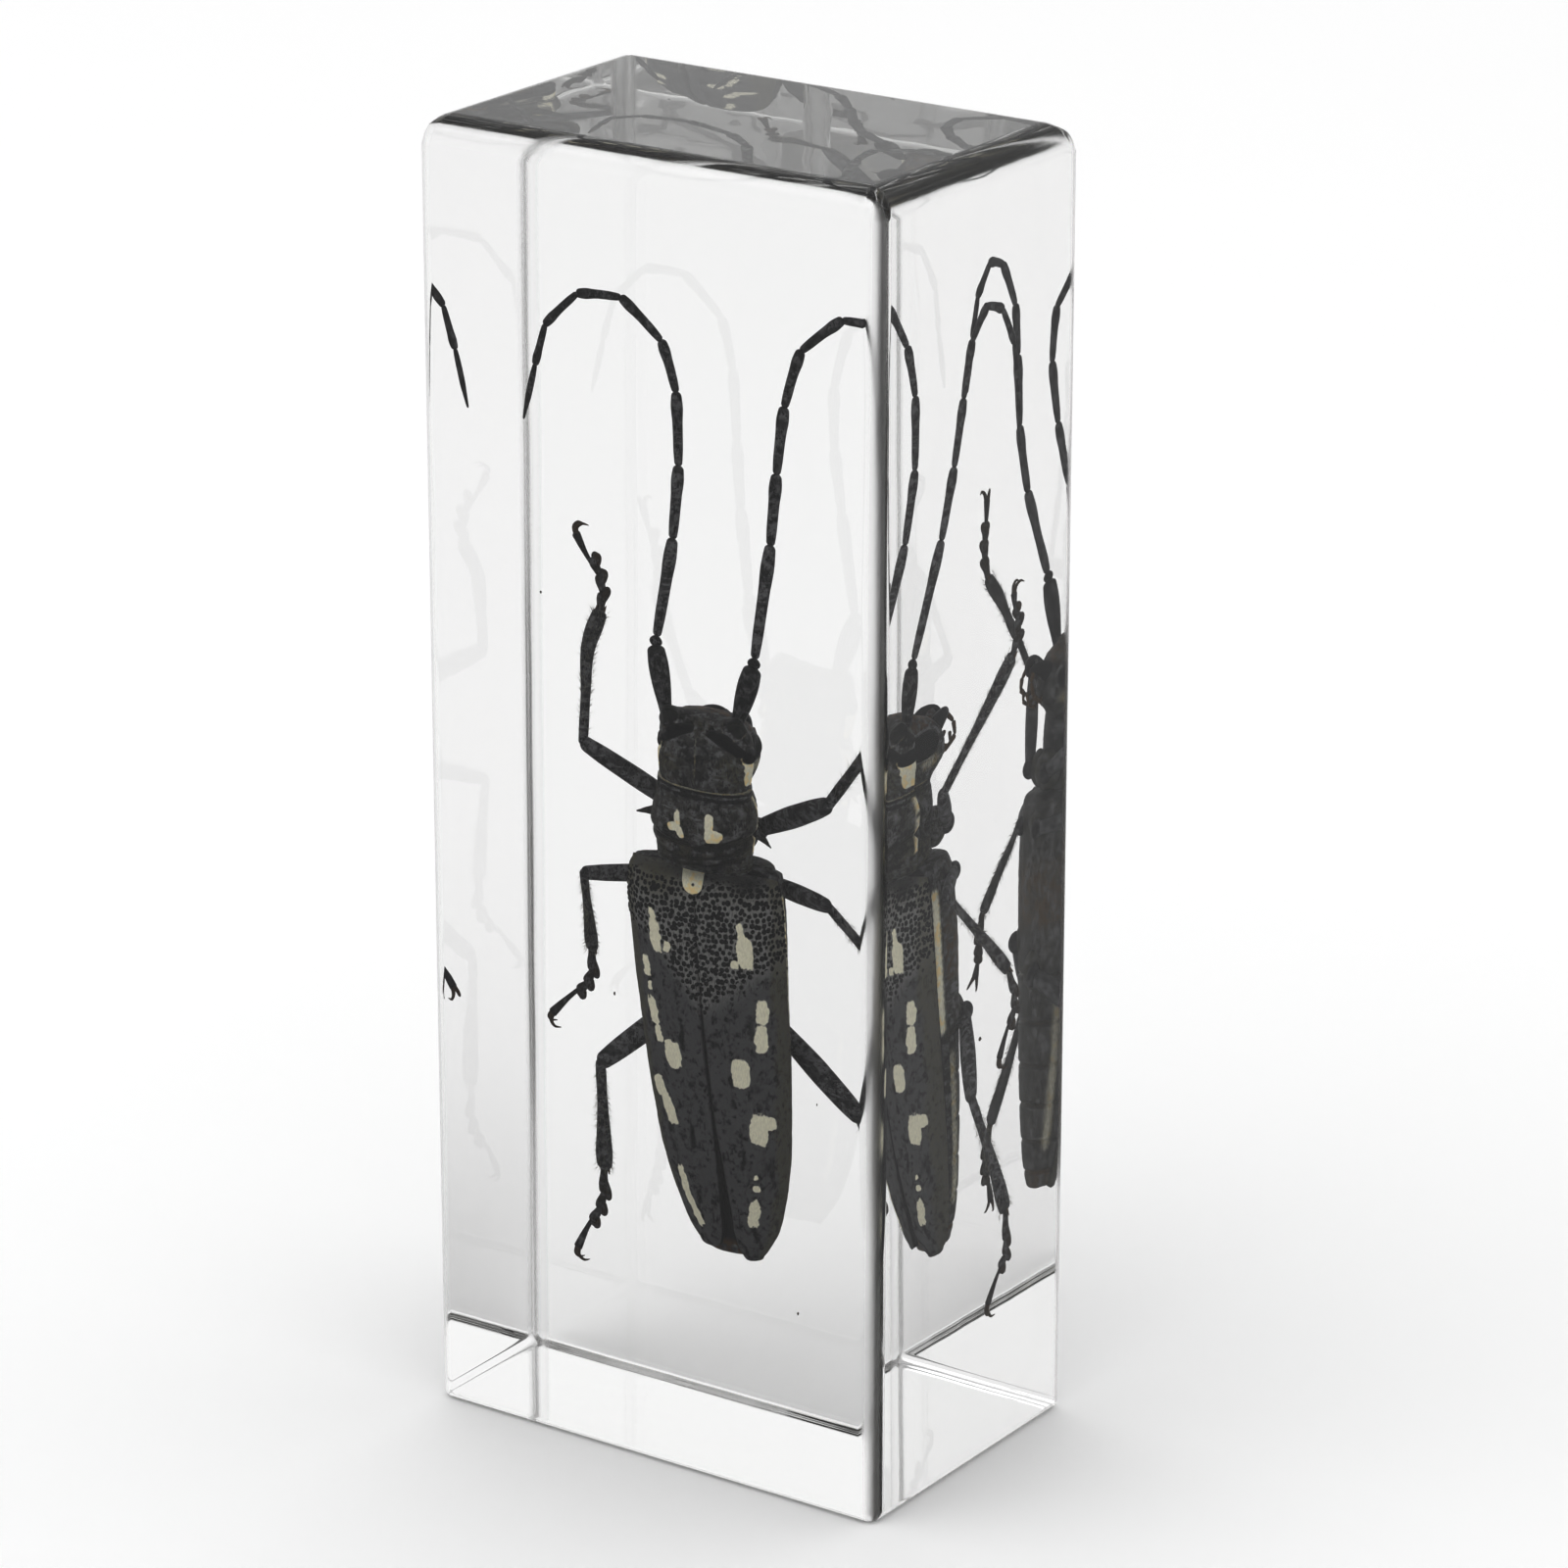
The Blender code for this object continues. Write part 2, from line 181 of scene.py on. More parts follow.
# Joints of each leg, in mm in the block's frame, as in the frame's plain beetle
Leg = namedtuple("Leg", "hip knee shin ankle toes claw thickness")
LEGS = {
    "foreleg_left": Leg(
        (-1.8, 6.1, 52.1), (-11.5, 0.0, 58.0), (-12.5, 4.1, 65.3), (-12.1, 6.4, 68.2),
        ((-12.0, 6.9, 69.7), (-12.3, 6.8, 71.2), (-12.8, 6.3, 72.6)), (-14.4, 5.2, 75.0), 0.92),
    "foreleg_right": Leg(
        (3.0, 6.9, 52.4), (12.0, 1.0, 57.2), (16.2, 5.3, 64.1), (18.3, 7.4, 67.7),
        ((18.4, 8.1, 69.2), (18.3, 8.1, 70.6), (18.2, 7.7, 71.6)), (18.2, 7.3, 73.4), 0.97),
    "midleg_left": Leg(
        (-1.8, 7.3, 47.6), (-11.8, 0.6, 46.6), (-12.7, 4.4, 41.5), (-13.2, 6.4, 38.7),
        ((-13.3, 6.8, 36.6), (-13.8, 6.5, 35.4), (-14.5, 6.1, 34.6)), (-17.3, 5.1, 32.0), 0.8),
    "midleg_right": Leg(
        (3.0, 8.0, 48.0), (11.8, 1.7, 48.5), (15.2, 5.5, 43.7), (17.6, 7.7, 40.6),
        ((17.4, 8.7, 38.4), (17.2, 8.9, 36.9), (17.2, 8.1, 35.6)), (17.4, 6.2, 32.8), 0.85),
    "hindleg_left": Leg(
        (-2.4, 7.7, 37.6), (-10.4, 1.0, 30.2), (-11.2, 3.8, 23.9), (-11.9, 5.9, 19.6),
        ((-12.1, 6.4, 17.1), (-12.5, 6.2, 15.6), (-13.1, 5.7, 14.4)), (-14.4, 4.2, 11.6), 1.0),
    "hindleg_right": Leg(
        (4.1, 9.0, 35.6), (14.1, 4.3, 30.4), (16.6, 6.2, 24.1), (18.5, 7.1, 19.7),
        ((18.2, 7.4, 17.0), (18.2, 7.4, 15.7), (18.2, 6.5, 14.8)), (18.2, 4.3, 11.8), 1.1),
}

# Joints of each antenna, in mm in the block's frame, from its socket to its tip
ANTENNAE = {
    "antenna_left": (
        (-3.4, 0.9, 60.8), (-4.9, 1.6, 67.3), (-4.5, 5.2, 75.8), (-4.4, 6.5, 81.7), (-4.7, 6.7, 87.7),
        (-6.0, 6.3, 91.8), (-9.8, 5.9, 94.8), (-13.9, 5.3, 94.5), (-17.0, 5.2, 91.4), (-18.0, 5.3, 87.9),
        (-19.2, 5.3, 83.2),
    ),
    "antenna_right": (
        (3.0, 0.9, 61.3), (5.0, 0.6, 67.4), (5.1, 4.7, 77.0), (5.0, 6.5, 82.6), (5.3, 7.6, 88.0),
        (6.8, 7.9, 92.8), (10.8, 7.6, 95.9), (14.1, 7.9, 95.7), (16.9, 7.9, 93.1), (17.8, 7.9, 90.1),
        (18.2, 8.0, 84.7),
    ),
}

# Spots: across and along the wing cases or pronotum, half width, half length, tilt in degrees
WING_SPOTS_LEFT = (
    (-4.2, -4.0, 0.58, 1.45, 4), (-4.35, -2.2, 0.30, 0.55, 10), (-3.0, -4.75, 0.36, 0.50, -10),
    (-5.45, -7.0, 0.42, 0.95, 4), (-5.2, -8.6, 0.22, 0.35, 0), (-5.1, -10.8, 0.52, 1.30, 8),
    (-4.75, -12.7, 0.46, 0.78, 8), (-3.3, -14.3, 0.82, 1.25, 8), (-5.3, -17.7, 0.72, 0.95, 12),
    (-4.4, -19.5, 0.66, 1.45, 16), (-3.75, -26.0, 0.42, 1.5, 12), (-3.0, -28.6, 0.42, 1.7, 20),
)
WING_SPOTS_RIGHT = (
    (4.3, -4.5, 0.72, 1.35, 3), (4.0, -2.7, 0.30, 0.85, 8), (3.4, -5.4, 0.40, 0.42, 0),
    (5.4, -9.5, 0.50, 1.05, -4), (5.15, -11.95, 0.55, 1.20, -3), (3.1, -15.0, 0.82, 1.35, -4),
    (4.2, -20.05, 0.80, 1.45, -6), (5.05, -19.6, 0.62, 0.62, 0), (3.5, -24.5, 0.24, 0.32, 0),
    (3.35, -25.6, 0.32, 0.38, 0), (2.8, -28.2, 0.52, 1.45, -16),
)
PRONOTUM_SPOTS = (
    (-1.68, 4.80, 0.30, 1.00, 2), (-2.12, 4.10, 0.52, 0.40, 20), (-1.46, 3.70, 0.34, 0.60, 16),
    (1.28, 4.95, 0.44, 0.92, -2), (1.56, 3.9, 0.74, 0.66, 0), (2.1, 4.05, 0.4, 0.36, 0),
)


# ---------------------------------------------------------------- arrays: curves, noise, surfaces

# A signed distance in mm that means that no mark is near
FAR = 9.0
# Every spot is a soft rectangle |x|^p + |y|^p = 1, and every section of the body a soft oval
SPOT_POWER = 3.5
SECTION_POWER = 2.3
# How much narrower the body is below its widest line
TUCK = 0.82
# Large odd numbers that mix the bits of a lattice place and a seed, and the mask that keeps 32 bits
PLACE_MIX = (73856093, 19349663, 83492791)
SEED_MIX = 668265263
FIRST_MIX, SECOND_MIX = 1274126177, 2246822519
LOW_BITS = 0xFFFFFFFF


def in_block(part, across, height, along):
    """Places in one stretch's own directions, as places in the block, in mm."""
    height = np.asarray(height, float)
    across = across + BELLY_SHIFT * np.maximum(-height, 0)
    local = np.stack(np.broadcast_arrays(across, -height, along), -1)
    return part["at"] + local @ part["turn"].T


def smooth(knots, values, at):
    """The cubic curve through the values at rising knots, with each knot's slope from its neighbours."""
    knots, values, at = (np.asarray(a, float) for a in (knots, values, at))
    slopes = np.gradient(values, knots, axis=0)
    i = np.clip(np.searchsorted(knots, at) - 1, 0, len(knots) - 2)
    step = knots[i + 1] - knots[i]
    t = np.clip((at - knots[i]) / step, 0, 1)
    if values.ndim > 1:
        step, t = step[..., None], t[..., None]
    rise = t * t * (3 - 2 * t)
    ease_in = t * (1 - t) ** 2 * step
    ease_out = -t * t * (1 - t) * step
    return values[i] * (1 - rise) + values[i + 1] * rise + slopes[i] * ease_in + slopes[i + 1] * ease_out


def section_sizes(table, along):
    """Half width, height and depth of a body table at the given places along it."""
    rising = table[np.argsort(table[:, 0])]
    return (smooth(rising[:, 0], rising[:, k], along) for k in (1, 2, 3))


def hill(distance, width):
    """A bell of height 1 whose value falls to about a third at the given width."""
    return np.exp(-(distance / width) ** 2)


def step_up(value, low, high):
    """0 below low and 1 above high, rising smoothly between them."""
    t = np.clip((value - low) / (high - low), 0, 1)
    return t * t * (3 - 2 * t)


def scatter(i, j, k, seed):
    """A number from 0 to 1 for each triple of whole numbers, by mixing their bits."""
    mixed = ((i * PLACE_MIX[0]) ^ (j * PLACE_MIX[1]) ^ (k * PLACE_MIX[2]) ^ (seed * SEED_MIX)) & LOW_BITS
    mixed = (mixed ^ (mixed >> 13)) * FIRST_MIX & LOW_BITS
    mixed = (mixed ^ (mixed >> 15)) * SECOND_MIX & LOW_BITS
    return (mixed ^ (mixed >> 16)) / (LOW_BITS + 1)


def rolling(points, size, seed):
    """Smooth hills from -1 to 1: values scattered on a lattice of the given size, blended between."""
    scaled = points / size
    base = np.floor(scaled).astype(np.int64)
    part = scaled - base
    part = part * part * (3 - 2 * part)
    total = np.zeros(points.shape[:-1])
    for corner in np.ndindex(2, 2, 2):
        weight = np.prod(np.where(corner, part, 1 - part), -1)
        spot = base + corner
        total += weight * scatter(spot[..., 0], spot[..., 1], spot[..., 2], seed)
    return 2 * total - 1


def nearest_seed(u, v, pitch, seed):
    """Distance to the nearest of the seeds scattered one to a square cell, and that seed's own number."""
    u, v = u / pitch, v / pitch
    cell_u, cell_v = np.floor(u).astype(np.int64), np.floor(v).astype(np.int64)
    best = np.full(u.shape, FAR)
    own = np.zeros(u.shape)
    for du, dv in np.ndindex(3, 3):
        i, j = cell_u + du - 1, cell_v + dv - 1
        away_u = i + 0.5 + 0.62 * (scatter(i, j, 1, seed) - 0.5) + 0.5 * (j % 2) - 0.25 - u
        away_v = j + 0.5 + 0.62 * (scatter(i, j, 2, seed) - 0.5) - v
        distance = np.hypot(away_u, away_v)
        own = np.where(distance < best, scatter(i, j, 3, seed), own)
        best = np.minimum(distance, best)
    return best * pitch, own


def spot_field(across, along, spots, ragged):
    """Signed distance in mm to the nearest spot's edge, below 0 inside, plus the edge's raggedness."""
    field = np.full(np.broadcast(across, along).shape, FAR)
    for centre_across, centre_along, half_width, half_length, tilt in spots:
        c, s = math.cos(math.radians(tilt)), math.sin(math.radians(tilt))
        x = ((across - centre_across) * c + (along - centre_along) * s) / half_width
        y = ((along - centre_along) * c - (across - centre_across) * s) / half_length
        reach = (np.abs(x) ** SPOT_POWER + np.abs(y) ** SPOT_POWER) ** (1 / SPOT_POWER)
        field = np.minimum(field, (reach - 1) * min(half_width, half_length))
    return field + ragged


def stroke(across, along, path, half_width):
    """Signed distance in mm to the edge of a round-ended stroke drawn along the path."""
    field = np.full(np.broadcast(across, along).shape, FAR)
    for (x0, y0), (x1, y1) in zip(path, path[1:]):
        dx, dy = x1 - x0, y1 - y0
        t = np.clip(((across - x0) * dx + (along - y0) * dy) / (dx * dx + dy * dy), 0, 1)
        field = np.minimum(field, np.hypot(across - x0 - t * dx, along - y0 - t * dy))
    return field - half_width


def unit(vectors):
    return vectors / np.linalg.norm(vectors, axis=-1, keepdims=True)


def normals_of(grid, wrap=False):
    """Unit normals of a grid of points, from the cross product of its two slopes."""
    if wrap:
        padded = np.concatenate((grid[:, -1:], grid, grid[:, :1]), 1)
        over = padded[:, 2:] - padded[:, :-2]
    else:
        over = np.gradient(grid, axis=1)
    down = np.gradient(grid, axis=0)
    cross = np.cross(down, over)
    return cross / np.maximum(np.linalg.norm(cross, axis=-1, keepdims=True), 1e-9)


def closed_skin(grid, poles=None, **marks):
    """A form from a grid that wraps in its second direction, closed by a pole beyond each end row."""
    rows, columns = grid.shape[:2]
    index = np.arange(rows * columns).reshape(rows, columns)
    beside = np.roll(index, -1, axis=1)
    quads = np.stack((index[:-1], beside[:-1], beside[1:], index[1:]), -1).reshape(-1, 4)
    first, last = rows * columns, rows * columns + 1
    fan_first = np.stack((np.full(columns, first), beside[0], index[0]), -1)
    fan_last = np.stack((np.full(columns, last), index[-1], beside[-1]), -1)
    ends = (grid[0].mean(0), grid[-1].mean(0)) if poles is None else poles
    points = np.concatenate((grid.reshape(-1, 3), np.array(ends).reshape(2, 3)))
    values = {}
    for name, mark in marks.items():
        mark = np.broadcast_to(mark, (rows, columns))
        values[name] = np.concatenate((mark.ravel(), (mark[0].mean(), mark[-1].mean())))
    form = {"points": points, "quads": quads, "tris": np.concatenate((fan_first, fan_last)), "marks": values}
    return facing_out(form)


def facing_out(form):
    """Turns a closed form's faces round if their volume comes out negative."""
    tris = np.concatenate((form["tris"], form["quads"][:, :3], form["quads"][:, [0, 2, 3]]))
    middle = form["points"].mean(0)
    a, b, c = (form["points"][tris[:, k]] - middle for k in range(3))
    if np.einsum("ij,ij->i", a, np.cross(b, c)).sum() < 0:
        form["tris"] = form["tris"][:, ::-1]
        form["quads"] = form["quads"][:, ::-1]
    return form


def merged(forms):
    """Several forms as one; a mark that a form lacks is 0 there."""
    names = sorted({name for form in forms for name in form["marks"]})
    offsets = np.cumsum([0] + [len(form["points"]) for form in forms])
    return {
        "points": np.concatenate([form["points"] for form in forms]),
        "quads": np.concatenate([form["quads"] + shift for form, shift in zip(forms, offsets)]),
        "tris": np.concatenate([form["tris"] + shift for form, shift in zip(forms, offsets)]),
        "marks": {
            name: np.concatenate([form["marks"].get(name, np.zeros(len(form["points"]))) for form in forms])
            for name in names},
    }


def piece(name, form, material, slot, *stands_for):
    """The finished object: its mesh in metres, its marks as attributes, and what it rides and replaces."""
    mesh = bpy.data.meshes.new(name)
    faces = form["quads"].tolist() + form["tris"].tolist()
    mesh.from_pydata((form["points"] * MM).tolist(), [], faces)
    for mark, values in form["marks"].items():
        mesh.attributes.new(mark, "FLOAT", "POINT").data.foreach_set("value", values.astype(np.float32))
    mesh.shade_smooth()
    mesh.materials.append(material)
    made = bpy.data.objects.new(name, mesh)
    bpy.context.scene.collection.objects.link(made)
    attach(made, "root")
    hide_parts(*stands_for)
    return made


# ---------------------------------------------------------------- arrays: limbs, lofts and hairs

BACKWARDS = np.array((0.0, 1.0, 0.0))


def limb(points, radii, sides, rows, flatten=1.0, cap=None, **marks):
    """A round profile carried along a smooth curve through the points, with a rounded cap at each end.

    The radii are spread evenly along the curve. The profile is the circle radius * (cos a, flatten *
    sin a), where the second direction is the one nearest to the block's back.
    """
    points = np.array(points, float)
    lengths = np.concatenate(([0.0], np.cumsum(np.linalg.norm(np.diff(points, axis=0), axis=1))))
    total = lengths[-1]
    t = (1 - np.cos(np.linspace(0, math.pi, rows + 2))) / 2
    place = smooth(lengths, points, t * total)
    radius = smooth(np.linspace(0, 1, len(radii)), radii, t)
    cap = cap or radii[0]
    end_distance = np.minimum(t, 1 - t) * total
    rounding = np.sqrt(1 - (1 - np.clip(end_distance / cap, 0, 1)) ** 2)
    forward = unit(np.gradient(place, axis=0))
    side = unit(np.cross(forward, BACKWARDS))
    other = np.cross(side, forward)
    turn = np.linspace(0, 2 * math.pi, sides, endpoint=False)[None, :, None]
    ring = side[:, None] * np.cos(turn) + flatten * other[:, None] * np.sin(turn)
    grid = place[:, None] + ring * (radius * rounding)[:, None, None]
    return closed_skin(grid[1:-1], poles=(place[0], place[-1]), **marks)


def loft(part, table, low, high, rows, columns, ends, shape):
    """A closed stretch of the body. Each section is a soft oval |x/a|^p + |y/b|^p = 1, narrower by the
    tuck below its widest line, and each end is rounded off over the given length. shape takes the
    grid's places and returns how far, in mm, the skin moves outwards there, and its marks.
    """
    body = np.linspace(low, high, rows)
    swing = np.linspace(0, math.pi / 2, 12, endpoint=False)[1:]
    along = np.concatenate((low - ends[0] * np.cos(swing), body, (high + ends[1] * np.cos(swing))[::-1]))
    closing = np.sin(swing) ** 0.5
    shrink = np.concatenate((closing, np.ones(rows), closing[::-1]))[:, None]
    half_width, top, bottom = (v[:, None] for v in section_sizes(table, np.clip(along, low, high)))
    turn = np.linspace(0, 2 * math.pi, columns, endpoint=False)[None]
    c, s = np.cos(turn), np.sin(turn)
    across = np.sign(c) * np.abs(c) ** (2 / SECTION_POWER) * half_width * np.where(s < -0.01, TUCK, 1.0)
    height = np.sign(s) * np.abs(s) ** (2 / SECTION_POWER) * np.where(s > 0, top, bottom)
    across, height = across * shrink, height * shrink
    along = np.broadcast_to(along[:, None], across.shape)
    grid = in_block(part, across, height, along)
    outward, marks = shape(across, height, along, c, s)
    middle = in_block(part, 0 * along, 0 * along, along)
    normal = normals_of(grid, wrap=True)
    normal *= np.sign(np.einsum("ijk,ijk->ij", normal, grid - middle))[..., None]
    return closed_skin(grid + normal * (outward * shrink)[..., None], **marks)


HAIR_LENGTH = 0.55
HAIR_RADIUS = 0.018
# Three corners round a hair's root, in radians, and the faces of its spike, whose tip is corner 3
HAIR_CORNERS = (0.0, 2.094, 4.189)
HAIR_FACES = ((0, 2, 1), (0, 1, 3), (1, 2, 3), (2, 0, 3))
ANY_DIRECTION = np.array((0.31, 0.52, 0.79))


def bristles(roots, directions, seed):
    """Fine hairs: for each root a thin three-sided spike that leans a little at random."""
    count = len(roots)
    aim = unit(directions + np.random.default_rng(seed).normal(0, 0.28, (count, 3)))
    lengths = HAIR_LENGTH * (0.6 + 0.8 * np.random.default_rng(seed + 1).random(count))[:, None]
    side = unit(np.cross(aim, ANY_DIRECTION))
    other = np.cross(aim, side)
    corners = [roots + HAIR_RADIUS * (side * math.cos(a) + other * math.sin(a)) for a in HAIR_CORNERS]
    points = np.stack((*corners, roots + aim * lengths), 1).reshape(-1, 3)
    first = 4 * np.arange(count)[:, None]
    tris = np.concatenate([first + np.array(face) for face in HAIR_FACES])
    return {"points": points, "quads": np.zeros((0, 4), int), "tris": tris, "marks": {}}


# ---------------------------------------------------------------- the wing cases

WING_ROWS = 440
WING_COLUMNS = 130
# Above 1, the rows lie closer together at the base, where the granules are
WING_CROWDING = 1.45
# Where the wing cases start, at the suture
WING_BASE = 1.8
# How high the inner wall starts, as a share of the height at the suture
WALL_SHARE = 0.62
# How far from the suture the two faint ribs run
COSTAE = (1.75, 3.9)
# Place along the wing cases, then the value in mm
MARGIN_HEIGHT = np.array(((-33.4, 0.0), (-30.0, 0.1), (-26.0, 0.6), (-20.0, 1.0), (-10.0, 1.5), (2.0, 1.7)))
SUTURE_LEFT = np.array((
    (-33.0, -1.9), (-31.8, -0.95), (-31.0, -0.62), (-28.0, -0.26), (-24.0, -0.02), (-21.0, 0.02),
    (-16.0, -0.03), (-9.8, -0.14), (2.0, -0.21),
))
SUTURE_RIGHT = np.array((
    (-33.4, 1.5), (-32.6, 0.9), (-31.0, 0.56), (-28.0, 0.52), (-24.0, 0.38), (-21.0, 0.15),
    (-16.0, 0.03), (-9.8, -0.06), (2.0, -0.13),
))
# Where the granules stop: across, then along
GRANULE_LIMIT = np.array(((-7.5, -3.2), (-4.6, -4.2), (0.0, -10.3), (5.0, -7.0), (7.5, -5.8)))
# Each wing case by its side: where it ends along the body, and how far its base slopes to its margin
Wing = namedtuple("Wing", "name spots suture tip slope seed")
WINGS = {
    -1: Wing("elytron_left", WING_SPOTS_LEFT, SUTURE_LEFT, -31.8, 0.1, 11),
    1: Wing("elytron_right", WING_SPOTS_RIGHT, SUTURE_RIGHT, -32.7, 0.8, 23),
}


def wing_surface(side, share, along):
    """Across and height of one wing case, share 0 at the suture and 1 at its margin.

    The half section is a quarter of the soft oval |x/w|^p + |y/t|^p = 1, cut off at the margin.
    """
    suture = WINGS[side].suture
    edge = smooth(suture[:, 0], suture[:, 1], along)
    half_width, top, _ = section_sizes(WING_CASES, along)
    margin = smooth(MARGIN_HEIGHT[:, 0], MARGIN_HEIGHT[:, 1], along)
    last = np.arccos(np.clip(margin / top, 0, 0.9) ** (SECTION_POWER / 2))
    turn = share * last
    across = edge + side * (half_width - side * edge) * np.sin(turn) ** (2 / SECTION_POWER)
    return across, top * np.cos(turn) ** (2 / SECTION_POWER), edge


def granule_relief(arc, along, across, look, seed):
    """Granules near the wing cases' base, one to a cell, that thin out towards the limit line."""
    limit = np.interp(across, GRANULE_LIMIT[:, 0], GRANULE_LIMIT[:, 1])
    zone = step_up(along - limit, -1.2, 2.2) * step_up(1.35 - along, 0.0, 0.7)
    pitch, radius = look.granule_pitch / MM, look.granule_radius / MM
    distance, own = nearest_seed(arc, along, pitch, seed)
    size = radius * (0.72 + 0.5 * own) * np.where(own < 0.15 + zone, 1.0, 0.0) * step_up(zone, 0.02, 0.3)
    dome = np.sqrt(np.clip(1 - (distance / np.maximum(size, 1e-3)) ** 2, 0, 1)) * (size > 0.02)
    return dome, zone


def wing_case(side, look):
    """One wing case: its outer surface moved out by its relief, and the marks that its material reads."""
    own = WINGS[side]
    share = np.linspace(0, 1, WING_COLUMNS)[None]
    base = WING_BASE - own.slope * share ** 2
    along = base + (own.tip - base) * np.linspace(0, 1, WING_ROWS)[:, None] ** WING_CROWDING
    across, height, edge = wing_surface(side, share, along)
    grid = in_block(HIND, across, height, along)
    steps = np.linalg.norm(np.diff(grid, axis=1), axis=2)
    arc = np.concatenate((np.zeros((WING_ROWS, 1)), np.cumsum(steps, axis=1)), 1)
    to_margin = arc[:, -1:] - arc
    dome, zone = granule_relief(arc, along, across, look, own.seed)
    points = np.stack((across, height, along), -1)
    costae = sum(hill(arc - place, 0.22) for place in COSTAE)
    costae = costae * step_up(-along, 9, 14) * step_up(along, -31, -27)
    ragged = 0.10 * rolling(points, 0.45, 3) + 0.06 * rolling(points, 0.18, 4)
    spot = spot_field(across, along, own.spots, ragged)
    outward = (
        0.10 * dome + 0.045 * costae + 0.035 * rolling(points, 0.9, 5) + 0.012 * rolling(points, 0.25, 6)
        + 0.05 * rolling(points, 3.1, 7) - 0.25 * hill(arc, 0.16) + 0.05 * hill(arc - 0.42, 0.2)
        - 0.30 * hill(to_margin, 0.2) + 0.07 * hill(to_margin - 0.5, 0.22)
        + 0.25 * hill(across - side * 5.2, 1.6) * hill(along + 0.9, 1.6)
        + 0.02 * step_up(-spot, -0.05, 0.08)
    )
    normal = normals_of(grid)
    back = in_block(HIND, np.array(0.0), np.array(1.0), np.array(0.0)) - HIND["at"]
    normal *= np.sign((normal * back).sum(-1).mean())
    foot = in_block(HIND, edge[:, :1], height[:, :1] * WALL_SHARE, along[:, :1])
    shell = wing_shell(grid + normal * outward[..., None], normal, foot)
    # The black strips along the suture and along the margin are painted shade in the seam between the two
    # wing cases and in the one at the margin; the rubbed streaks and the bald right shoulder are the chitin's
    # own black.
    bare = hill(arc, 0.16) * (0.25 + 0.75 * step_up(-along, 7, 13)) + hill(to_margin, 0.2)
    bare = bare + dark_streaks(arc, along, points) + 0.7 * hill(along - 1.0, 1.0) * hill(across - 4.7, 1.9)
    olive = olive_on_wing(side, across, along, points)
    marks = {"spot": spot, "granule": dome, "zone": zone, "olive": olive, "bare": bare}
    beyond, inside = (shell.shape[0] - WING_ROWS) // 2, shell.shape[1] - WING_COLUMNS
    around = ((beyond, beyond), (0, inside))
    return closed_skin(shell, **{name: np.pad(values, around, "edge") for name, values in marks.items()})


def wing_shell(grid, normal, foot):
    """The outer surface, closed by a plain underside and by a wall from the foot up to the suture."""
    under_share = np.linspace(1, 0, 14)[1:-1, None]
    wall_share = np.array((0.0, 0.33, 0.66))[:, None]
    margin_inside = grid[:, -1:] - normal[:, -1:] * 0.5
    under = foot + (margin_inside - foot) * under_share
    wall = foot + (grid[:, :1] - foot) * wall_share
    ring = np.concatenate((grid, under, wall), 1)
    return np.concatenate((round_end(ring[0], 0.3, 0.06)[::-1], ring, round_end(ring[-1], -0.35, 0.75)))


def round_end(row, length, inset):
    """Rows that carry a section on along the body while it shrinks, as a quarter of an ellipse."""
    swing = np.linspace(0, math.pi / 2, 7)[1:-1, None, None]
    middle = row.mean(0)
    shrunk = middle + (row - middle) * (1 - inset * (1 - np.cos(swing)))
    return shrunk + HIND["turn"][:, 2] * length * np.sin(swing)


def olive_on_wing(side, across, along, points):
    """Greenish hair: along the outer margin, and a patch on the left shoulder."""
    half_width, _, _ = section_sizes(WING_CASES, along)
    inner = half_width * 0.84 + 0.35 * rolling(points, 1.3, 8)
    margin = step_up(np.abs(across), inner - 0.25, inner + 0.35)
    shoulder = hill(along - 0.7, 1.3) * hill(across - side * 4.0, 2.6) * (1.1 if side < 0 else 0.4)
    return np.clip(0.7 * margin + shoulder, 0, 1)


def dark_streaks(arc, along, points):
    """Rubbed patches in broken rows along the wing case, where its hair is gone."""
    behind = step_up(-along, 6.0, 10.0)
    rows = (
        hill(arc - 2.15 - 0.15 * rolling(points, 2.2, 31), 0.34) + 0.6 * hill(arc - 4.6, 0.5)
        + 0.8 * hill(arc - 0.85, 0.12) * step_up(-along, 15, 21))
    drawn_out = points * np.array((1, 1, 0.7))
    broken = step_up(rolling(drawn_out, 0.55, 32) + 0.4 * rolling(points, 0.2, 33), -0.25, 0.5)
    loose = step_up(rolling(points, 0.7, 34) + 0.5 * rolling(points, 0.25, 35), 0.35, 0.8)
    loose = loose * step_up(arc, 1.5, 2.2)
    return 0.95 * behind * rows * broken + 0.28 * behind * loose


# Where the scutellum starts and ends along the wing cases
SCUTELLUM_TOP, SCUTELLUM_TIP = 2.1, 0.15


def scutellum():
    """The small tongue of a plate between the wing cases' bases, lying on their slope."""
    along = np.linspace(SCUTELLUM_TOP, SCUTELLUM_TIP, 40)[:, None]
    reach = (SCUTELLUM_TOP - along) / (SCUTELLUM_TOP - SCUTELLUM_TIP)
    half = 1.05 * (1 - np.clip(reach, 0, 1) ** 6.0) ** 0.5 * (1 - 0.12 * reach) + 0.02
    turn = np.linspace(0, 2 * math.pi, 36, endpoint=False)[None]
    _, top, _ = section_sizes(WING_CASES, along)
    middle = -0.33 + 0.11 * reach
    across = middle + half * np.cos(turn)
    height = top + 0.48 - 0.06 * reach + (0.20 - 0.1 * reach) * np.sin(turn) - 0.05 * np.cos(turn) ** 2
    along = np.broadcast_to(along, across.shape)
    grid = in_block(HIND, across, height, along)
    speck = np.hypot(across - middle - 0.1, along - 0.9) - 0.1
    return closed_skin(grid, spot=-np.abs(np.minimum(0.4, speck)) * np.sign(speck), fuzz=0.5)


# ---------------------------------------------------------------- the fore body

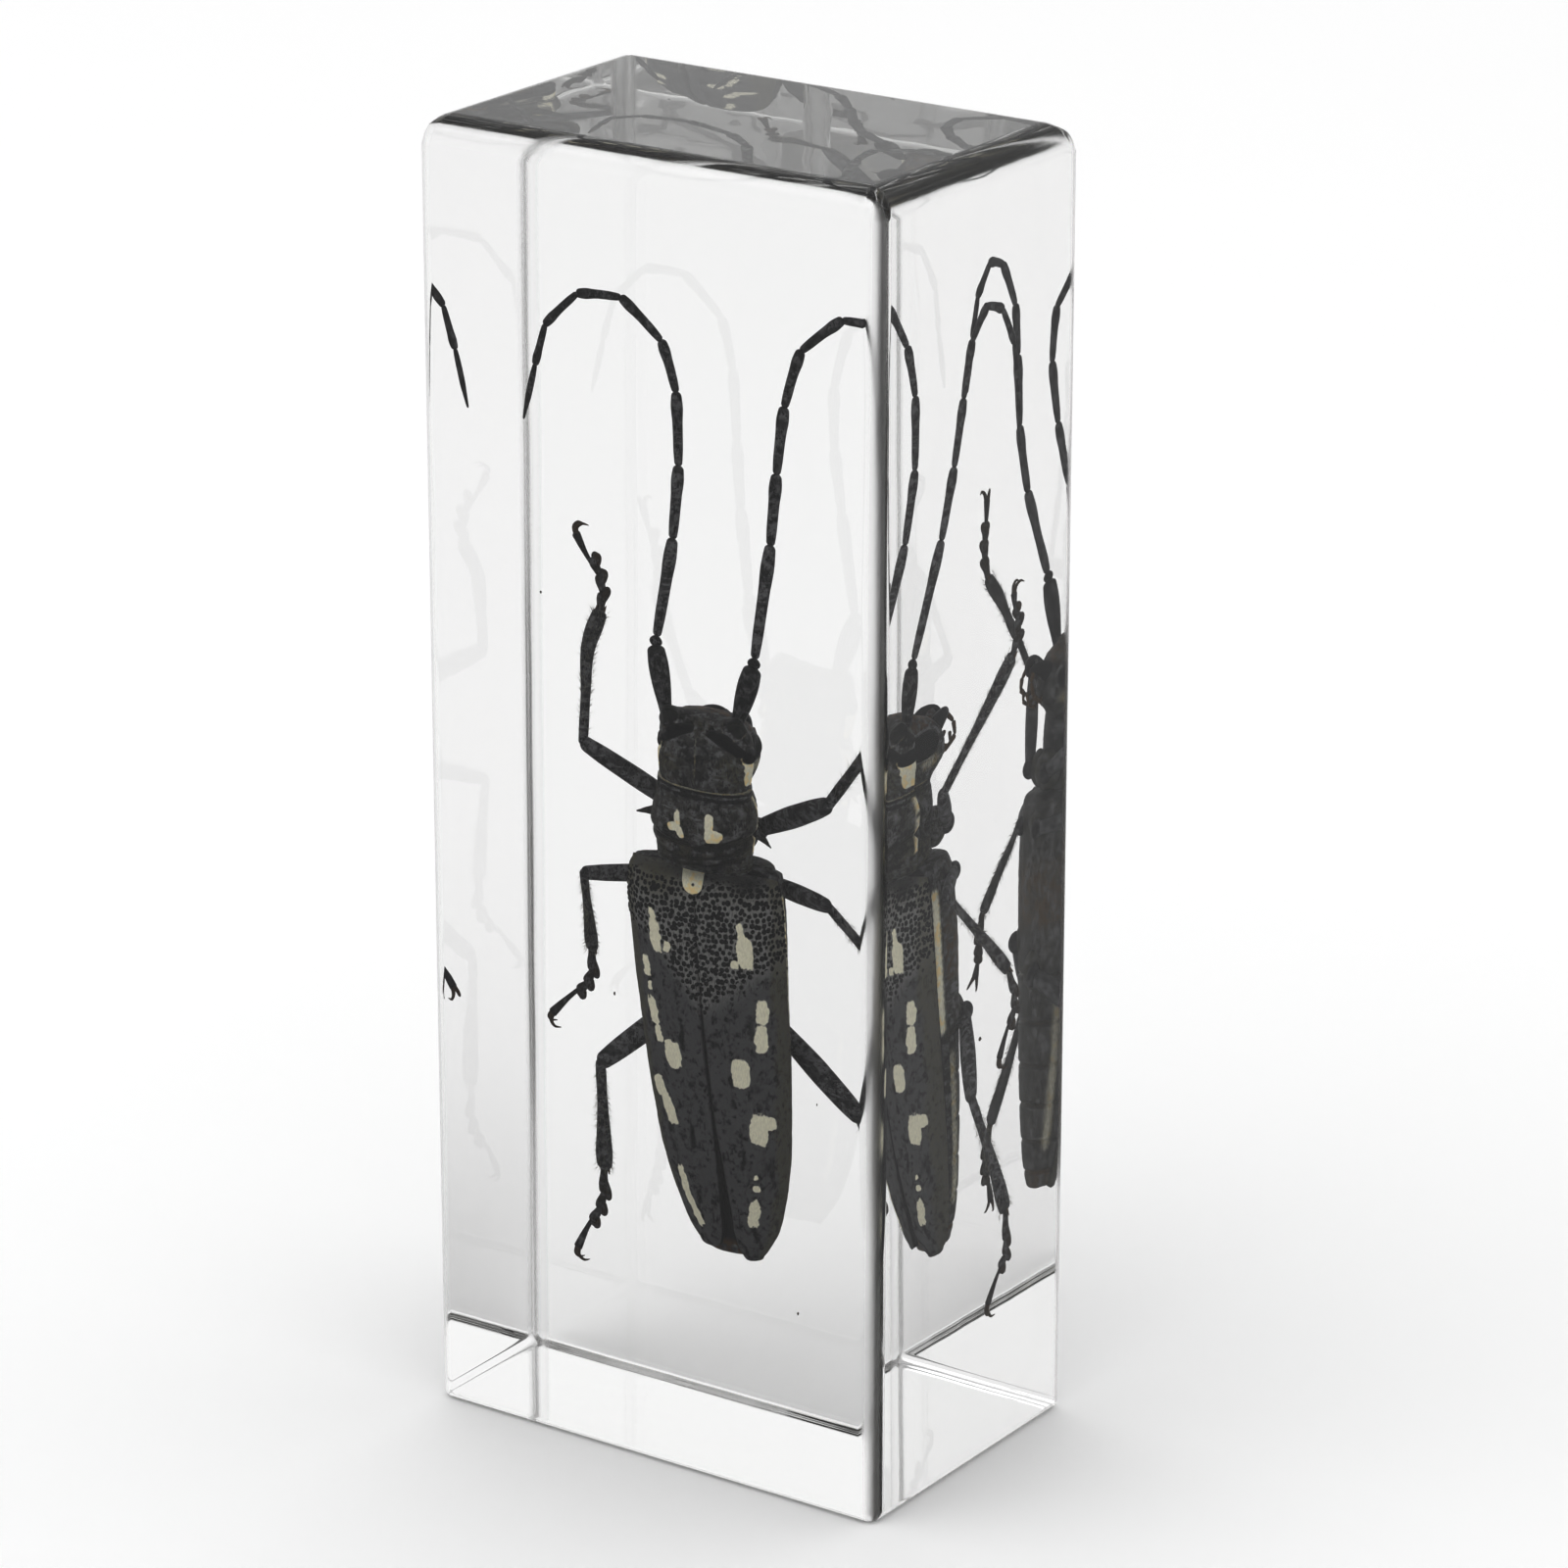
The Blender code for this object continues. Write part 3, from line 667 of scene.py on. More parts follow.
# Across and along the pronotum, in mm
GROOVE = (
    (-4.6, 3.15), (-3.8, 2.92), (-2.7, 2.62), (-0.9, 2.38), (1.85, 2.85), (3.5, 3.4), (4.4, 3.72), (5.0, 3.9))
WRINKLES = (
    ((-4.6, 2.1), (-3.2, 1.62), (-0.95, 1.48), (1.8, 2.0), (3.8, 2.64), (4.8, 2.9)),
    ((-4.0, 1.15), (-1.5, 0.95), (1.2, 1.2), (3.9, 1.9)),
    ((-3.0, 3.5), (-2.2, 3.0), (-0.6, 2.85)),
    ((1.0, 3.1), (2.6, 3.35), (3.9, 3.95)),
)
# Across, along and height of each low swelling
SWELLINGS = ((0.0, 4.5, 0.14), (-2.5, 5.3, 0.18), (2.6, 5.3, 0.18), (-2.8, 3.9, 0.12), (3.0, 4.2, 0.12))


def pronotum_shape(across, height, along, c, s):
    """A crooked groove behind the pronotum's disc, wrinkles, rims and low swellings."""
    points = np.stack((across, height, along), -1)
    upper = step_up(s, -0.1, 0.3)
    groove = stroke(across, along, GROOVE, 0.0)
    folds = sum(hill(stroke(across, along, path, 0.0), 0.13) for path in WRINKLES)
    swellings = sum(size * hill(np.hypot(across - x, (along - y) * 0.9), 0.85) for x, y, size in SWELLINGS)
    disc = step_up(along, 2.8, 3.4) * (1 - step_up(along, 6.4, 7.0))
    flanks = 0.32 * step_up(c, 0.5, 0.9) * hill(along - 5.6, 1.2)
    flanks = flanks + 0.3 * step_up(-c, 0.5, 0.9) * hill(along - 3.2, 1.3)
    outward = (
        -0.26 * hill(groove, 0.26) - 0.13 * upper * folds - 0.2 * hill(along - 0.72, 0.1)
        - 0.07 * hill(along - 6.9, 0.16) - 0.10 * hill(along - 7.42, 0.06) + flanks
        + upper * (swellings + disc * (0.05 * rolling(points, 0.5, 41) + 0.03 * rolling(points, 0.22, 42)))
        + 0.03 * rolling(points * np.array((1, 1, 3)), 0.7, 43)
    )
    ragged = 0.06 * rolling(points, 0.4, 44) + 0.04 * rolling(points, 0.16, 45)
    spot = np.where(s > 0.2, spot_field(across, along, PRONOTUM_SPOTS, ragged), FAR)
    flank = hill(height - 0.1 - 0.25 * rolling(points, 1.2, 49), 0.62) * step_up(along, 1.6, 2.4)
    flank *= (1 - step_up(along, 7.0, 7.3)) * step_up(rolling(points, 0.9, 50), -0.7, -0.2)
    rim = hill(along - 7.56, 0.07)
    sides = hill(height + 0.4, 1.8) * (0.75 + 0.35 * rolling(points, 0.7, 46))
    behind = (1 - step_up(along, 2.4, 3.2)) * (0.4 + 0.6 * rolling(points, 1.1, 48))
    return outward, {
        "spot": spot,
        "cream": np.clip(0.8 * flank + 0.5 * rim, 0, 1),
        "olive": np.clip(0.9 * sides + 0.25 * disc * upper + 0.3 * rim + 0.7 * behind, 0, 1),
        "fuzz": 0.42 + 0.3 * rolling(points, 0.9, 47),
        # This mark is partly hairless chitin and partly painted shade: the black in the groove, in the
        # wrinkles and in the two lines either side of the front rim stands in for the shade in these creases.
        "bare": np.clip(
            0.8 * hill(groove, 0.2) + 0.7 * folds + hill(along - 6.95, 0.12) + hill(along - 7.42, 0.1), 0, 1),
    }


def spine(path, seed):
    """A side spine of the pronotum: a low swelling that runs out into a thin thorn."""
    path = in_block(FORE, *np.array(path).T)
    form = limb(path, (0.95, 0.85, 0.42, 0.22, 0.05), 24, 40, cap=0.06, spot=FAR, olive=0.2, fuzz=0.3)
    form["points"] += 0.02 * rolling(form["points"], 0.4, seed)[:, None]
    return form


def pronotum():
    plate = loft(FORE, PRONOTUM, 0.6, 7.5, 200, 150, ends=(0.14, 0.12), shape=pronotum_shape)
    left = spine(((-3.6, -0.3, 4.0), (-4.6, -0.3, 3.85), (-5.5, -0.3, 3.72), (-6.75, -0.3, 3.4)), 51)
    right = spine(((3.6, -0.3, 4.1), (4.6, -0.3, 3.8), (5.3, -0.3, 3.35), (6.0, -0.3, 2.75)), 52)
    return merged([plate, left, right])


# Across and along the head, in mm, as on its right side
EYE_LOBE = ((0.95, 12.5), (1.85, 12.1), (2.7, 11.65), (3.6, 11.05), (4.4, 10.6))
CHEEK_STRIPE = ((4.0, 10.6), (4.2, 10.1), (4.26, 9.5), (4.32, 8.3))
CROWN_LINE = ((-0.02, 12.8), (-0.06, 11.6), (-0.12, 10.2), (-0.26, 8.0))


def eye_field(across, height, along):
    """Signed distance to the eyes: on each side a slanting upper lobe, joined to a larger lower one."""
    side = np.abs(across)
    upper = np.where(height > 0.6, stroke(side, along, EYE_LOBE, 0.27), FAR)
    lower = (np.hypot((height + 1.9) / 2.1, (along - 10.6) / 1.05) - 1) * 1.05
    lower = np.where(side > 2.4, lower, FAR)
    bridge = (np.hypot((height - 0.6) / 1.6, (along - 10.55) / 0.55) - 1) * 0.55
    bridge = np.where(side > 3.0, bridge, FAR)
    return np.minimum(np.minimum(upper, lower), bridge)


def head_shape(across, height, along, c, s):
    """Antenna mounts with a dip between them, a pale line down the crown, eyes and a furrowed face."""
    points = np.stack((across, height, along), -1)
    side = np.abs(across)
    upper = step_up(s, 0.0, 0.4)
    mounts = 0.8 * hill(np.hypot(side - 3.0, (along - 12.7) * 0.9), 0.8) * step_up(height, 0.0, 1.0)
    rim = hill(np.hypot(side - 3.0, along - 12.9) - 1.0, 0.14) * step_up(height, 0.5, 1.2)
    dip = 0.45 * hill(across - 0.5, 1.1) * hill(along - 13.0, 0.7) * step_up(height, -0.5, 1.0)
    line = stroke(across, along, CROWN_LINE, 0.0)
    eye = eye_field(across, height, along)
    face = step_up(-height, -0.5, 0.5)
    bulge = 0.32 * step_up(c, 0.3, 0.9) * hill(along - 10.4, 1.5)
    bulge = bulge - 0.12 * step_up(-c, 0.3, 0.9) * hill(along - 11.4, 1.2)
    lumps = step_up(along, 11.4, 12.2) * upper
    outward = (
        mounts + 0.10 * rim - dip + bulge - 0.07 * hill(line, 0.09) * upper
        + 0.10 * step_up(-eye, -0.15, 0.4) - 0.10 * hill(eye - 0.1, 0.12)
        + 0.035 * rolling(points, 0.5, 61) + 0.02 * rolling(points, 0.2, 62)
        + 0.08 * lumps * rolling(points, 0.6, 64)
        - 0.10 * hill(along - 7.0, 0.3) - 0.15 * face * hill(side - 2.6, 0.2) * step_up(along, 9, 10)
    )
    stripe = stroke(side, along, CHEEK_STRIPE, 0.36) + 0.06 * rolling(points, 0.3, 65)
    cheek = hill(height + 2.6, 2.2) * hill(along - 9.0, 0.9)
    patch = hill(np.hypot(side - 2.95, (along - 9.4) * 0.8), 1.05) * upper
    vertex = hill(across - 0.3, 0.95) * hill(along - 12.6, 0.7) * upper
    pale_line = hill(line, 0.22) * upper * (1 - step_up(along, 11.8, 12.3))
    clear = step_up(eye, 0, 0.1)
    return outward, {
        "spot": np.where(height > -0.5, stripe, FAR),
        "eye": step_up(-eye, -0.04, 0.04),
        "cream": np.clip(0.45 * cheek + 0.36 * pale_line + 0.3 * rim, 0, 1) * clear,
        "olive": np.clip(0.9 * patch + 0.8 * vertex + 0.4 * cheek + 0.12, 0, 1) * clear,
        "brown": face * step_up(along, 11.4, 12.6) * 0.9,
        "fuzz": 0.42 + 0.3 * rolling(points, 0.8, 63) + 0.4 * hill(eye - 0.25, 0.14),
        "bare": np.clip(hill(eye - 0.04, 0.06) + 0.7 * mounts, 0, 1),
    }


def head():
    return loft(FORE, HEAD, 6.4, 12.8, 200, 170, ends=(0.4, 0.6), shape=head_shape)


def mouth_parts():
    """Two biting jaws, the lip between them, and two pairs of jointed feelers that curl round."""
    forms = []
    for side in (-1, 1):
        jaw = ((1.9, -4.2, 10.6), (1.7, -5.6, 11.5), (0.9, -6.8, 11.6), (0.15, -7.2, 11.0))
        outer = ((1.5, -5.0, 9.3), (2.2, -6.2, 8.9), (2.1, -7.2, 9.6), (1.5, -7.4, 10.7), (1.1, -6.9, 11.4))
        inner = ((0.6, -5.3, 8.9), (1.0, -6.5, 8.3), (0.9, -7.3, 8.8), (0.5, -7.5, 9.7))
        forms.append(limb(mirrored(jaw, side), (0.95, 0.85, 0.55, 0.12), 20, 30, cap=0.1))
        for path, size in ((outer, 0.27), (inner, 0.22)):
            forms += feeler(mirrored(path, side), size)
    lip = ((0.0, -4.7, 11.0), (0.0, -5.7, 11.5), (0.0, -6.4, 11.3))
    forms.append(limb(mirrored(lip, 1), (1.2, 1.0, 0.5), 20, 16, flatten=0.35, fuzz=0.4, brown=0.6))
    return merged(forms)


def mirrored(path, side):
    """A path of the fore body given for the right side, as places in the block on either side."""
    across, height, along = np.array(path).T
    return in_block(FORE, side * across - 1.1, height, along)


def feeler(path, size):
    """A jointed feeler of the mouth: one small club for each stretch of the path."""
    return [
        limb((start, (start + end) / 2, end), (size * 0.6, size * 0.85, size), 12, 10, brown=0.9)
        for start, end in zip(path, path[1:])]


# ---------------------------------------------------------------- the underside

VENTRITE_ENDS = (-13.5, -17.6, -21.4, -24.9, -28.2, -31.0)
UNDERSIDE = WING_CASES * np.array((1, 0.945, 0.72, 1.0)) - np.array((0, 0.12, 0.0, 0))


def underside_shape(across, height, along, c, s):
    """Belly plates parted by grooves, the plates of the hind breast, and the pale bands on the flanks."""
    points = np.stack((across, height, along), -1)
    seams = sum(hill(along - end + 0.25 * np.abs(c), 0.16) for end in VENTRITE_ENDS)
    lower = step_up(-s, -0.35, 0.1)
    breast_line = hill(across, 0.12) * step_up(along, -12.5, -11) * lower
    flank_line = hill(height - 0.2 - 0.02 * along, 0.16) * step_up(along, -13, -12.2)
    outward = (
        -0.22 * seams * lower - 0.15 * breast_line - 0.14 * flank_line * step_up(np.abs(c), 0.6, 0.9)
        + 0.03 * rolling(points, 0.6, 71) + 0.012 * rolling(points, 0.2, 72)
    )
    band = hill(height - 0.95, 0.62) * step_up(along, -13.6, -12.4) * (1 - step_up(along, -0.8, 0.4))
    belly_band = hill(height + 1.0, 0.9) * step_up(-along, 14.0, 16.0) * step_up(along, -30.5, -28.5)
    breast = step_up(-height, 0.3, 1.2) * step_up(along, -10.5, -8.5) * (1 - step_up(along, -4.5, -2.5))
    return outward, {
        "spot": np.full(across.shape, FAR),
        "cream": np.clip(0.9 * band + 0.5 * belly_band, 0, 1),
        "olive": np.clip(0.35 * lower + 0.3 * band, 0, 1),
        "brown": np.clip(0.8 * breast + 0.8 * step_up(-along, 30.5, 32.0) + 0.4 * seams * lower, 0, 1),
        "fuzz": 0.45 + 0.2 * rolling(points, 0.8, 73),
        "bare": np.clip(seams * lower + 1.5 * step_up(s, 0.5, 0.8) * step_up(along, -32.0, -31.0), 0, 1),
    }


def underside():
    """Hind breast and belly, which fill the room below and between the wing cases."""
    return loft(HIND, UNDERSIDE, -32.2, 1.4, 240, 130, ends=(0.6, 0.6), shape=underside_shape)


# ---------------------------------------------------------------- limbs

# Radii along an antenna's joint and its last joint, as shares of a size that shrinks towards the tip
JOINT_RADII = np.array((0.68, 0.86, 0.90, 0.95, 1.10, 0.85))
LAST_JOINT_RADII = np.array((0.62, 0.9, 0.95, 0.9, 0.6, 0.3))
FIRST_SIZE, LAST_SIZE = 0.56, 0.31


def antenna(joints):
    """A stout first joint, a bead, then nine joints that swell at their far ends and grow thinner."""
    socket, scape_end, *stops = np.array(joints)
    scape = (socket, socket * 0.6 + scape_end * 0.4, scape_end)
    forms = [limb(scape, (0.45, 0.62, 0.86, 0.95, 0.78), 24, 40, fuzz=0.35)]
    aim = unit(stops[0] - scape_end)
    forms.append(limb((scape_end - 0.2 * aim, scape_end + 0.8 * aim), (0.5, 0.6, 0.5), 20, 10, fuzz=0.2))
    start = scape_end + 0.7 * aim
    before = [start, *stops]
    after = [*stops[1:], stops[-1]]
    for k, end in enumerate(stops):
        bend = 0.06 * (end - before[k]) - 0.06 * (after[k] - end)
        size = FIRST_SIZE + (LAST_SIZE - FIRST_SIZE) * k / (len(stops) - 1)
        radii = size * (LAST_JOINT_RADII if k == len(stops) - 1 else JOINT_RADII)
        forms.append(limb((start, (start + end) / 2 + bend * 0.5, end), radii, 18, 34, fuzz=0.5 - 0.02 * k))
        start = end - 0.12 * unit(end - start)
    return merged(forms)


# The leg's root inside the body, as shares of the hip's place in x, y and z
COXA_ROOT = np.array((0.35, 0.62, 1.0))
COXA_RADII = np.array((1.3, 1.8, 1.35))
TROCHANTER_RADII = np.array((0.8, 1.0, 0.8))
THIGH_RADII = np.array((0.68, 0.8, 0.90, 0.96, 0.93, 0.86, 0.68))
SHIN_RADII = np.array((0.48, 0.52, 0.5, 0.55, 0.64, 0.74, 0.84, 0.72))


def leg(joints):
    """One leg: coxa, trochanter, clubbed thigh, shin with spurs, foot of three lobed joints, and claws."""
    thick = joints.thickness
    hip, knee, shin, ankle = np.array(joints[:4])
    outward, down = unit(knee - hip), unit(shin - knee)
    coxa = (hip * COXA_ROOT, (hip * (1 + COXA_ROOT)) / 2, hip)
    trochanter = (hip - 0.6 * outward, hip + 1.2 * outward)
    thigh = (hip, hip + (knee - hip) * 0.5, knee + 0.25 * outward)
    shank = (knee - 0.3 * down, knee + (shin - knee) * 0.5, shin, ankle)
    forms = [
        limb(coxa, COXA_RADII * thick, 28, 24, cap=1.2, olive=0.6, fuzz=0.5),
        limb(trochanter, TROCHANTER_RADII * thick, 20, 12, fuzz=0.4),
        limb(thigh, THIGH_RADII * thick, 32, 60, flatten=0.9, fuzz=0.55),
        limb(shank, SHIN_RADII * thick, 26, 70, flatten=0.86, fuzz=0.5),
        *spurs(ankle, unit(ankle - shin), thick),
        *foot(ankle, np.array(joints.toes), np.array(joints.claw)),
    ]
    return merged(forms)


def spurs(ankle, forward, thick):
    """Two short spines at the end of the shin."""
    side = unit(np.cross(forward, BACKWARDS))
    roots = (ankle + side * 0.45 * thick, ankle - side * 0.35 * thick)
    return [
        limb((root - 0.3 * forward, root + 0.1 * forward, root + 0.55 * forward + 0.12 * (root - ankle)),
             (0.14, 0.12, 0.03), 10, 10, cap=0.03, brown=0.8) for root in roots]


def foot(ankle, toes, claw):
    """Three slim foot joints with pads on the sole's side, towards belly and middle, and the claw joint."""
    stops = np.concatenate((ankle[None], toes))
    forward = unit(toes[2] - toes[1])
    inwards = np.array((0.7, 0.7, 0.0)) if ankle[0] < 0 else BACKWARDS
    sole = unit(inwards - (inwards @ forward) * forward)
    forms = []
    for k, (start, end) in enumerate(zip(stops, stops[1:])):
        ahead = unit(end - start)
        side = unit(np.cross(ahead, sole))
        forms.append(limb(
            (start - 0.25 * ahead, (start + end) / 2 - 0.12 * sole, end - 0.1 * sole),
            (0.34, 0.36, 0.46, 0.42), 18, 20, pad=0.3, fuzz=0.4))
        for lobe in (-1, 1):
            root = start + 0.45 * (end - start) + 0.1 * lobe * side
            tip = end + 0.22 * ahead + 0.42 * sole + 0.32 * lobe * side
            forms.append(limb(
                (root, (root + tip) / 2 + 0.06 * sole, tip), (0.26, 0.34, 0.38, 0.26), 16, 16,
                cap=0.24, pad=0.9 if k == 2 else 0.6, fuzz=0.3))
    return forms + claw_joint(toes[1] - 0.15 * sole, claw, sole)


# A claw's places along the foot, towards the sole, and away from the foot's middle
CLAW_HOOK = ((-0.1, 0.0, 0.12), (0.4, 0.25, 0.3), (0.5, 0.85, 0.5), (0.1, 1.35, 0.55))


def claw_joint(root, claw, sole):
    """The slender last joint, which thickens towards its end, and two claws that hook to the sole's side."""
    forward = unit(claw - root)
    side = unit(np.cross(forward, sole))
    wrist = claw - 0.55 * forward
    stem = (root, (root + wrist) / 2 - 0.12 * sole, wrist)
    forms = [limb(stem, (0.16, 0.19, 0.23, 0.33, 0.42), 16, 26, brown=0.2, fuzz=0.2)]
    for lobe in (-1, 1):
        hook = [
            wrist + along * forward + down * sole + lobe * apart * side for along, down, apart in CLAW_HOOK]
        forms.append(limb(hook, (0.24, 0.2, 0.15, 0.1, 0.03), 12, 20, cap=0.03, brown=0.5))
    return forms


# How many hairs a leg has
LEG_HAIRS = 420
# Share of the way from knee to ankle at which the shin bends
SHIN_BEND = 0.72


def leg_hair(joints, seed):
    """Short hairs on the outer half of the shin and round the foot."""
    rng = np.random.default_rng(seed)
    _, knee, shin, ankle = np.array(joints[:4])
    t = rng.random(LEG_HAIRS)[:, None] ** 0.6
    upper, lower = np.clip(t / SHIN_BEND, 0, 1), np.clip((t - SHIN_BEND) / (1 - SHIN_BEND), 0, 1)
    place = knee + (shin - knee) * upper + (ankle - shin) * lower
    forward = unit(ankle - knee)
    away = rng.normal(size=(LEG_HAIRS, 3))
    away = unit(away - (away @ forward)[:, None] * forward)
    roots = place + away * (0.45 + 0.3 * t) * joints.thickness
    return bristles(roots, away * 0.55 + forward * 0.8, seed)


# ---------------------------------------------------------------- specks in the resin

# Place in the block, and radius, in mm
SPECKS = (
    (-4.4, -11.0, 39.6, 0.17), (-11.3, -11.0, 72.3, 0.14), (13.9, -12.0, 16.3, 0.15),
    (15.0, -10.0, 34.3, 0.10), (19.5, 2.4, 36.6, 0.22),
)


def specks():
    """Specks of dust caught in the casting: small, slightly lumpy grains."""
    forms = []
    for k, (x, y, z, size) in enumerate(SPECKS):
        grain = limb(((x - size * 0.6, y, z), (x + size * 0.6, y, z)), (size, size), 12, 8, cap=size)
        grain["points"] += 0.25 * size * rolling(grain["points"], size, 80 + k)[:, None]
        forms.append(grain)
    return merged(forms)


# ---------------------------------------------------------------- shader building

def connect(value, socket):
    """Links a socket, or sets a number, a vector or a colour; a colour's alpha is 1 where it has none."""
    if isinstance(value, bpy.types.NodeSocket):
        socket.id_data.links.new(value, socket)
    elif hasattr(value, "__len__"):
        socket.default_value = (*value, 1.0)[:len(socket.default_value)]
    else:
        socket.default_value = value


def add(kind, inputs, tree=None, **settings):
    """A node with its settings and inputs, in the given tree or else in that of its first linked input."""
    if tree is None:
        tree = next(value.id_data for value in inputs.values() if isinstance(value, bpy.types.NodeSocket))
    made = tree.nodes.new("ShaderNode" + kind)
    for name, value in settings.items():
        setattr(made, name, value)
    for name, value in inputs.items():
        connect(value, made.inputs[name])
    return made


def maths(operation, a, b, clamp=False):
    return add("Math", {0: a, 1: b}, operation=operation, use_clamp=clamp).outputs[0]


def plus(a, b, clamp=False):
    return maths("ADD", a, b, clamp)


def minus(a, b, clamp=False):
    return maths("SUBTRACT", a, b, clamp)


def times(a, b):
    return maths("MULTIPLY", a, b)


def larger(a, b):
    return maths("MAXIMUM", a, b)


def vectors(operation, a, b=(0.0, 0.0, 0.0)):
    return add("VectorMath", {0: a, 1: b}, operation=operation).outputs[0]


def scaled(vector, factor):
    return add("VectorMath", {0: vector, 3: factor}, operation="SCALE").outputs[0]


def blend(factor, a, b):
    """The colour a where factor is 0 and b where it is 1."""
    return add("Mix", {0: factor, 6: a, 7: b}, data_type="RGBA").outputs[2]


def ramp(value, low, high):
    """0 below low, 1 above high, and a smooth rise between; a fall if high is below low."""
    limits = {"From Min": min(low, high), "From Max": max(low, high)}
    results = {"To Min": 0.0 if low < high else 1.0, "To Max": 1.0 if low < high else 0.0}
    return add("MapRange", {"Value": value, **limits, **results}, interpolation_type="SMOOTHSTEP").outputs[0]


def mark(tree, name):
    """One of the values that the piece carries at its vertices."""
    return add("Attribute", {}, tree, attribute_name=name).outputs["Fac"]


def noise(where, scale, detail=2.0):
    return add("TexNoise", {"Vector": where, "Scale": scale, "Detail": detail}).outputs[0]


def cells(where, scale, **settings):
    """Distance to the nearest of scattered points."""
    return add("TexVoronoi", {"Vector": where, "Scale": scale}, **settings).outputs["Distance"]


def relief(height, strength, distance=0.05 * MM):
    return add("Bump", {"Height": height, "Strength": strength, "Distance": distance}).outputs[0]


def toned(colour, *shares):
    """A colour times a share, or times one share for each channel."""
    return tuple(np.array(colour) * shares)


def new_group(name, inputs, outputs):
    """An empty node group and its sockets; each is a number, apart from the one called Vector."""
    group = bpy.data.node_groups.new(name, "ShaderNodeTree")
    for direction, sockets in (("INPUT", inputs), ("OUTPUT", outputs)):
        for socket in sockets:
            kind = "NodeSocketVector" if socket == "Vector" else "NodeSocketFloat"
            group.interface.new_socket(socket, in_out=direction, socket_type=kind)
    return group, group.nodes.new("NodeGroupInput").outputs, group.nodes.new("NodeGroupOutput").inputs


def hair_cover_group():
    """Lying hair: flecks a few hundredths of a mm wide and longer along the body, that cover a share."""
    if "Hair Cover" in bpy.data.node_groups:
        return bpy.data.node_groups["Hair Cover"]
    group, given, result = new_group("Hair Cover", ("Vector", "Cover"), ("Mask", "Height"))
    flecks = noise(vectors("MULTIPLY", given["Vector"], (1.0, 1.0, 0.3)), 9.0, 3.0)
    clumps = noise(given["Vector"], 1.5, 4.0)
    cover_limit = minus(1.10, times(given["Cover"], 0.70))
    above = minus(plus(times(flecks, 0.6), times(clumps, 1.1)), cover_limit)
    connect(ramp(above, -0.10, 0.16), result["Mask"])
    connect(flecks, result["Height"])
    return group


def chitin_group():
    """Bare chitin: a faint mottle, and a fine leathery relief of small cells."""
    if "Chitin" in bpy.data.node_groups:
        return bpy.data.node_groups["Chitin"]
    group, given, result = new_group("Chitin", ("Vector",), ("Mottle", "Height"))
    where = given["Vector"]
    leather = times(cells(where, 7.0, feature="SMOOTH_F1"), 0.6)
    connect(noise(where, 0.8, 3.0), result["Mottle"])
    connect(plus(leather, times(noise(where, 20), 0.5)), result["Height"])
    return group


def new_material(name):
    """A material, its tree, and the place on the object in mm."""
    made = bpy.data.materials.new(name)
    made.use_nodes = True
    place = add("TexCoord", {}, made.node_tree).outputs["Object"]
    return made, made.node_tree, scaled(place, 1 / MM)


def dress(made, inputs):
    """The material, once the inputs of its Principled shader are linked or set."""
    shader = made.node_tree.nodes["Principled BSDF"]
    for name, value in inputs.items():
        connect(value, shader.inputs[name])
    return made


def mottled_material(name, scale, dark, light, roughness, **more):
    """A material whose colour wanders between two tones."""
    made, _, where = new_material(name)
    tone = blend(noise(where, scale), dark, light)
    return dress(made, {"Base Color": tone, "Roughness": roughness, **more})


def grown_skin(where, cover):
    """What both beetle materials build on: the outputs of the hairless chitin and of its hair."""
    chitin = add("Group", {"Vector": where}, node_tree=chitin_group())
    hair = add("Group", {"Vector": where, "Cover": cover}, node_tree=hair_cover_group())
    return chitin.outputs, hair.outputs


CHITIN_IOR = 1.15
EYE_BLACK = (0.004, 0.004, 0.005)
# Shares of the cream's red, green and blue where a spot is stained
STAIN = (0.95, 0.82, 0.58)


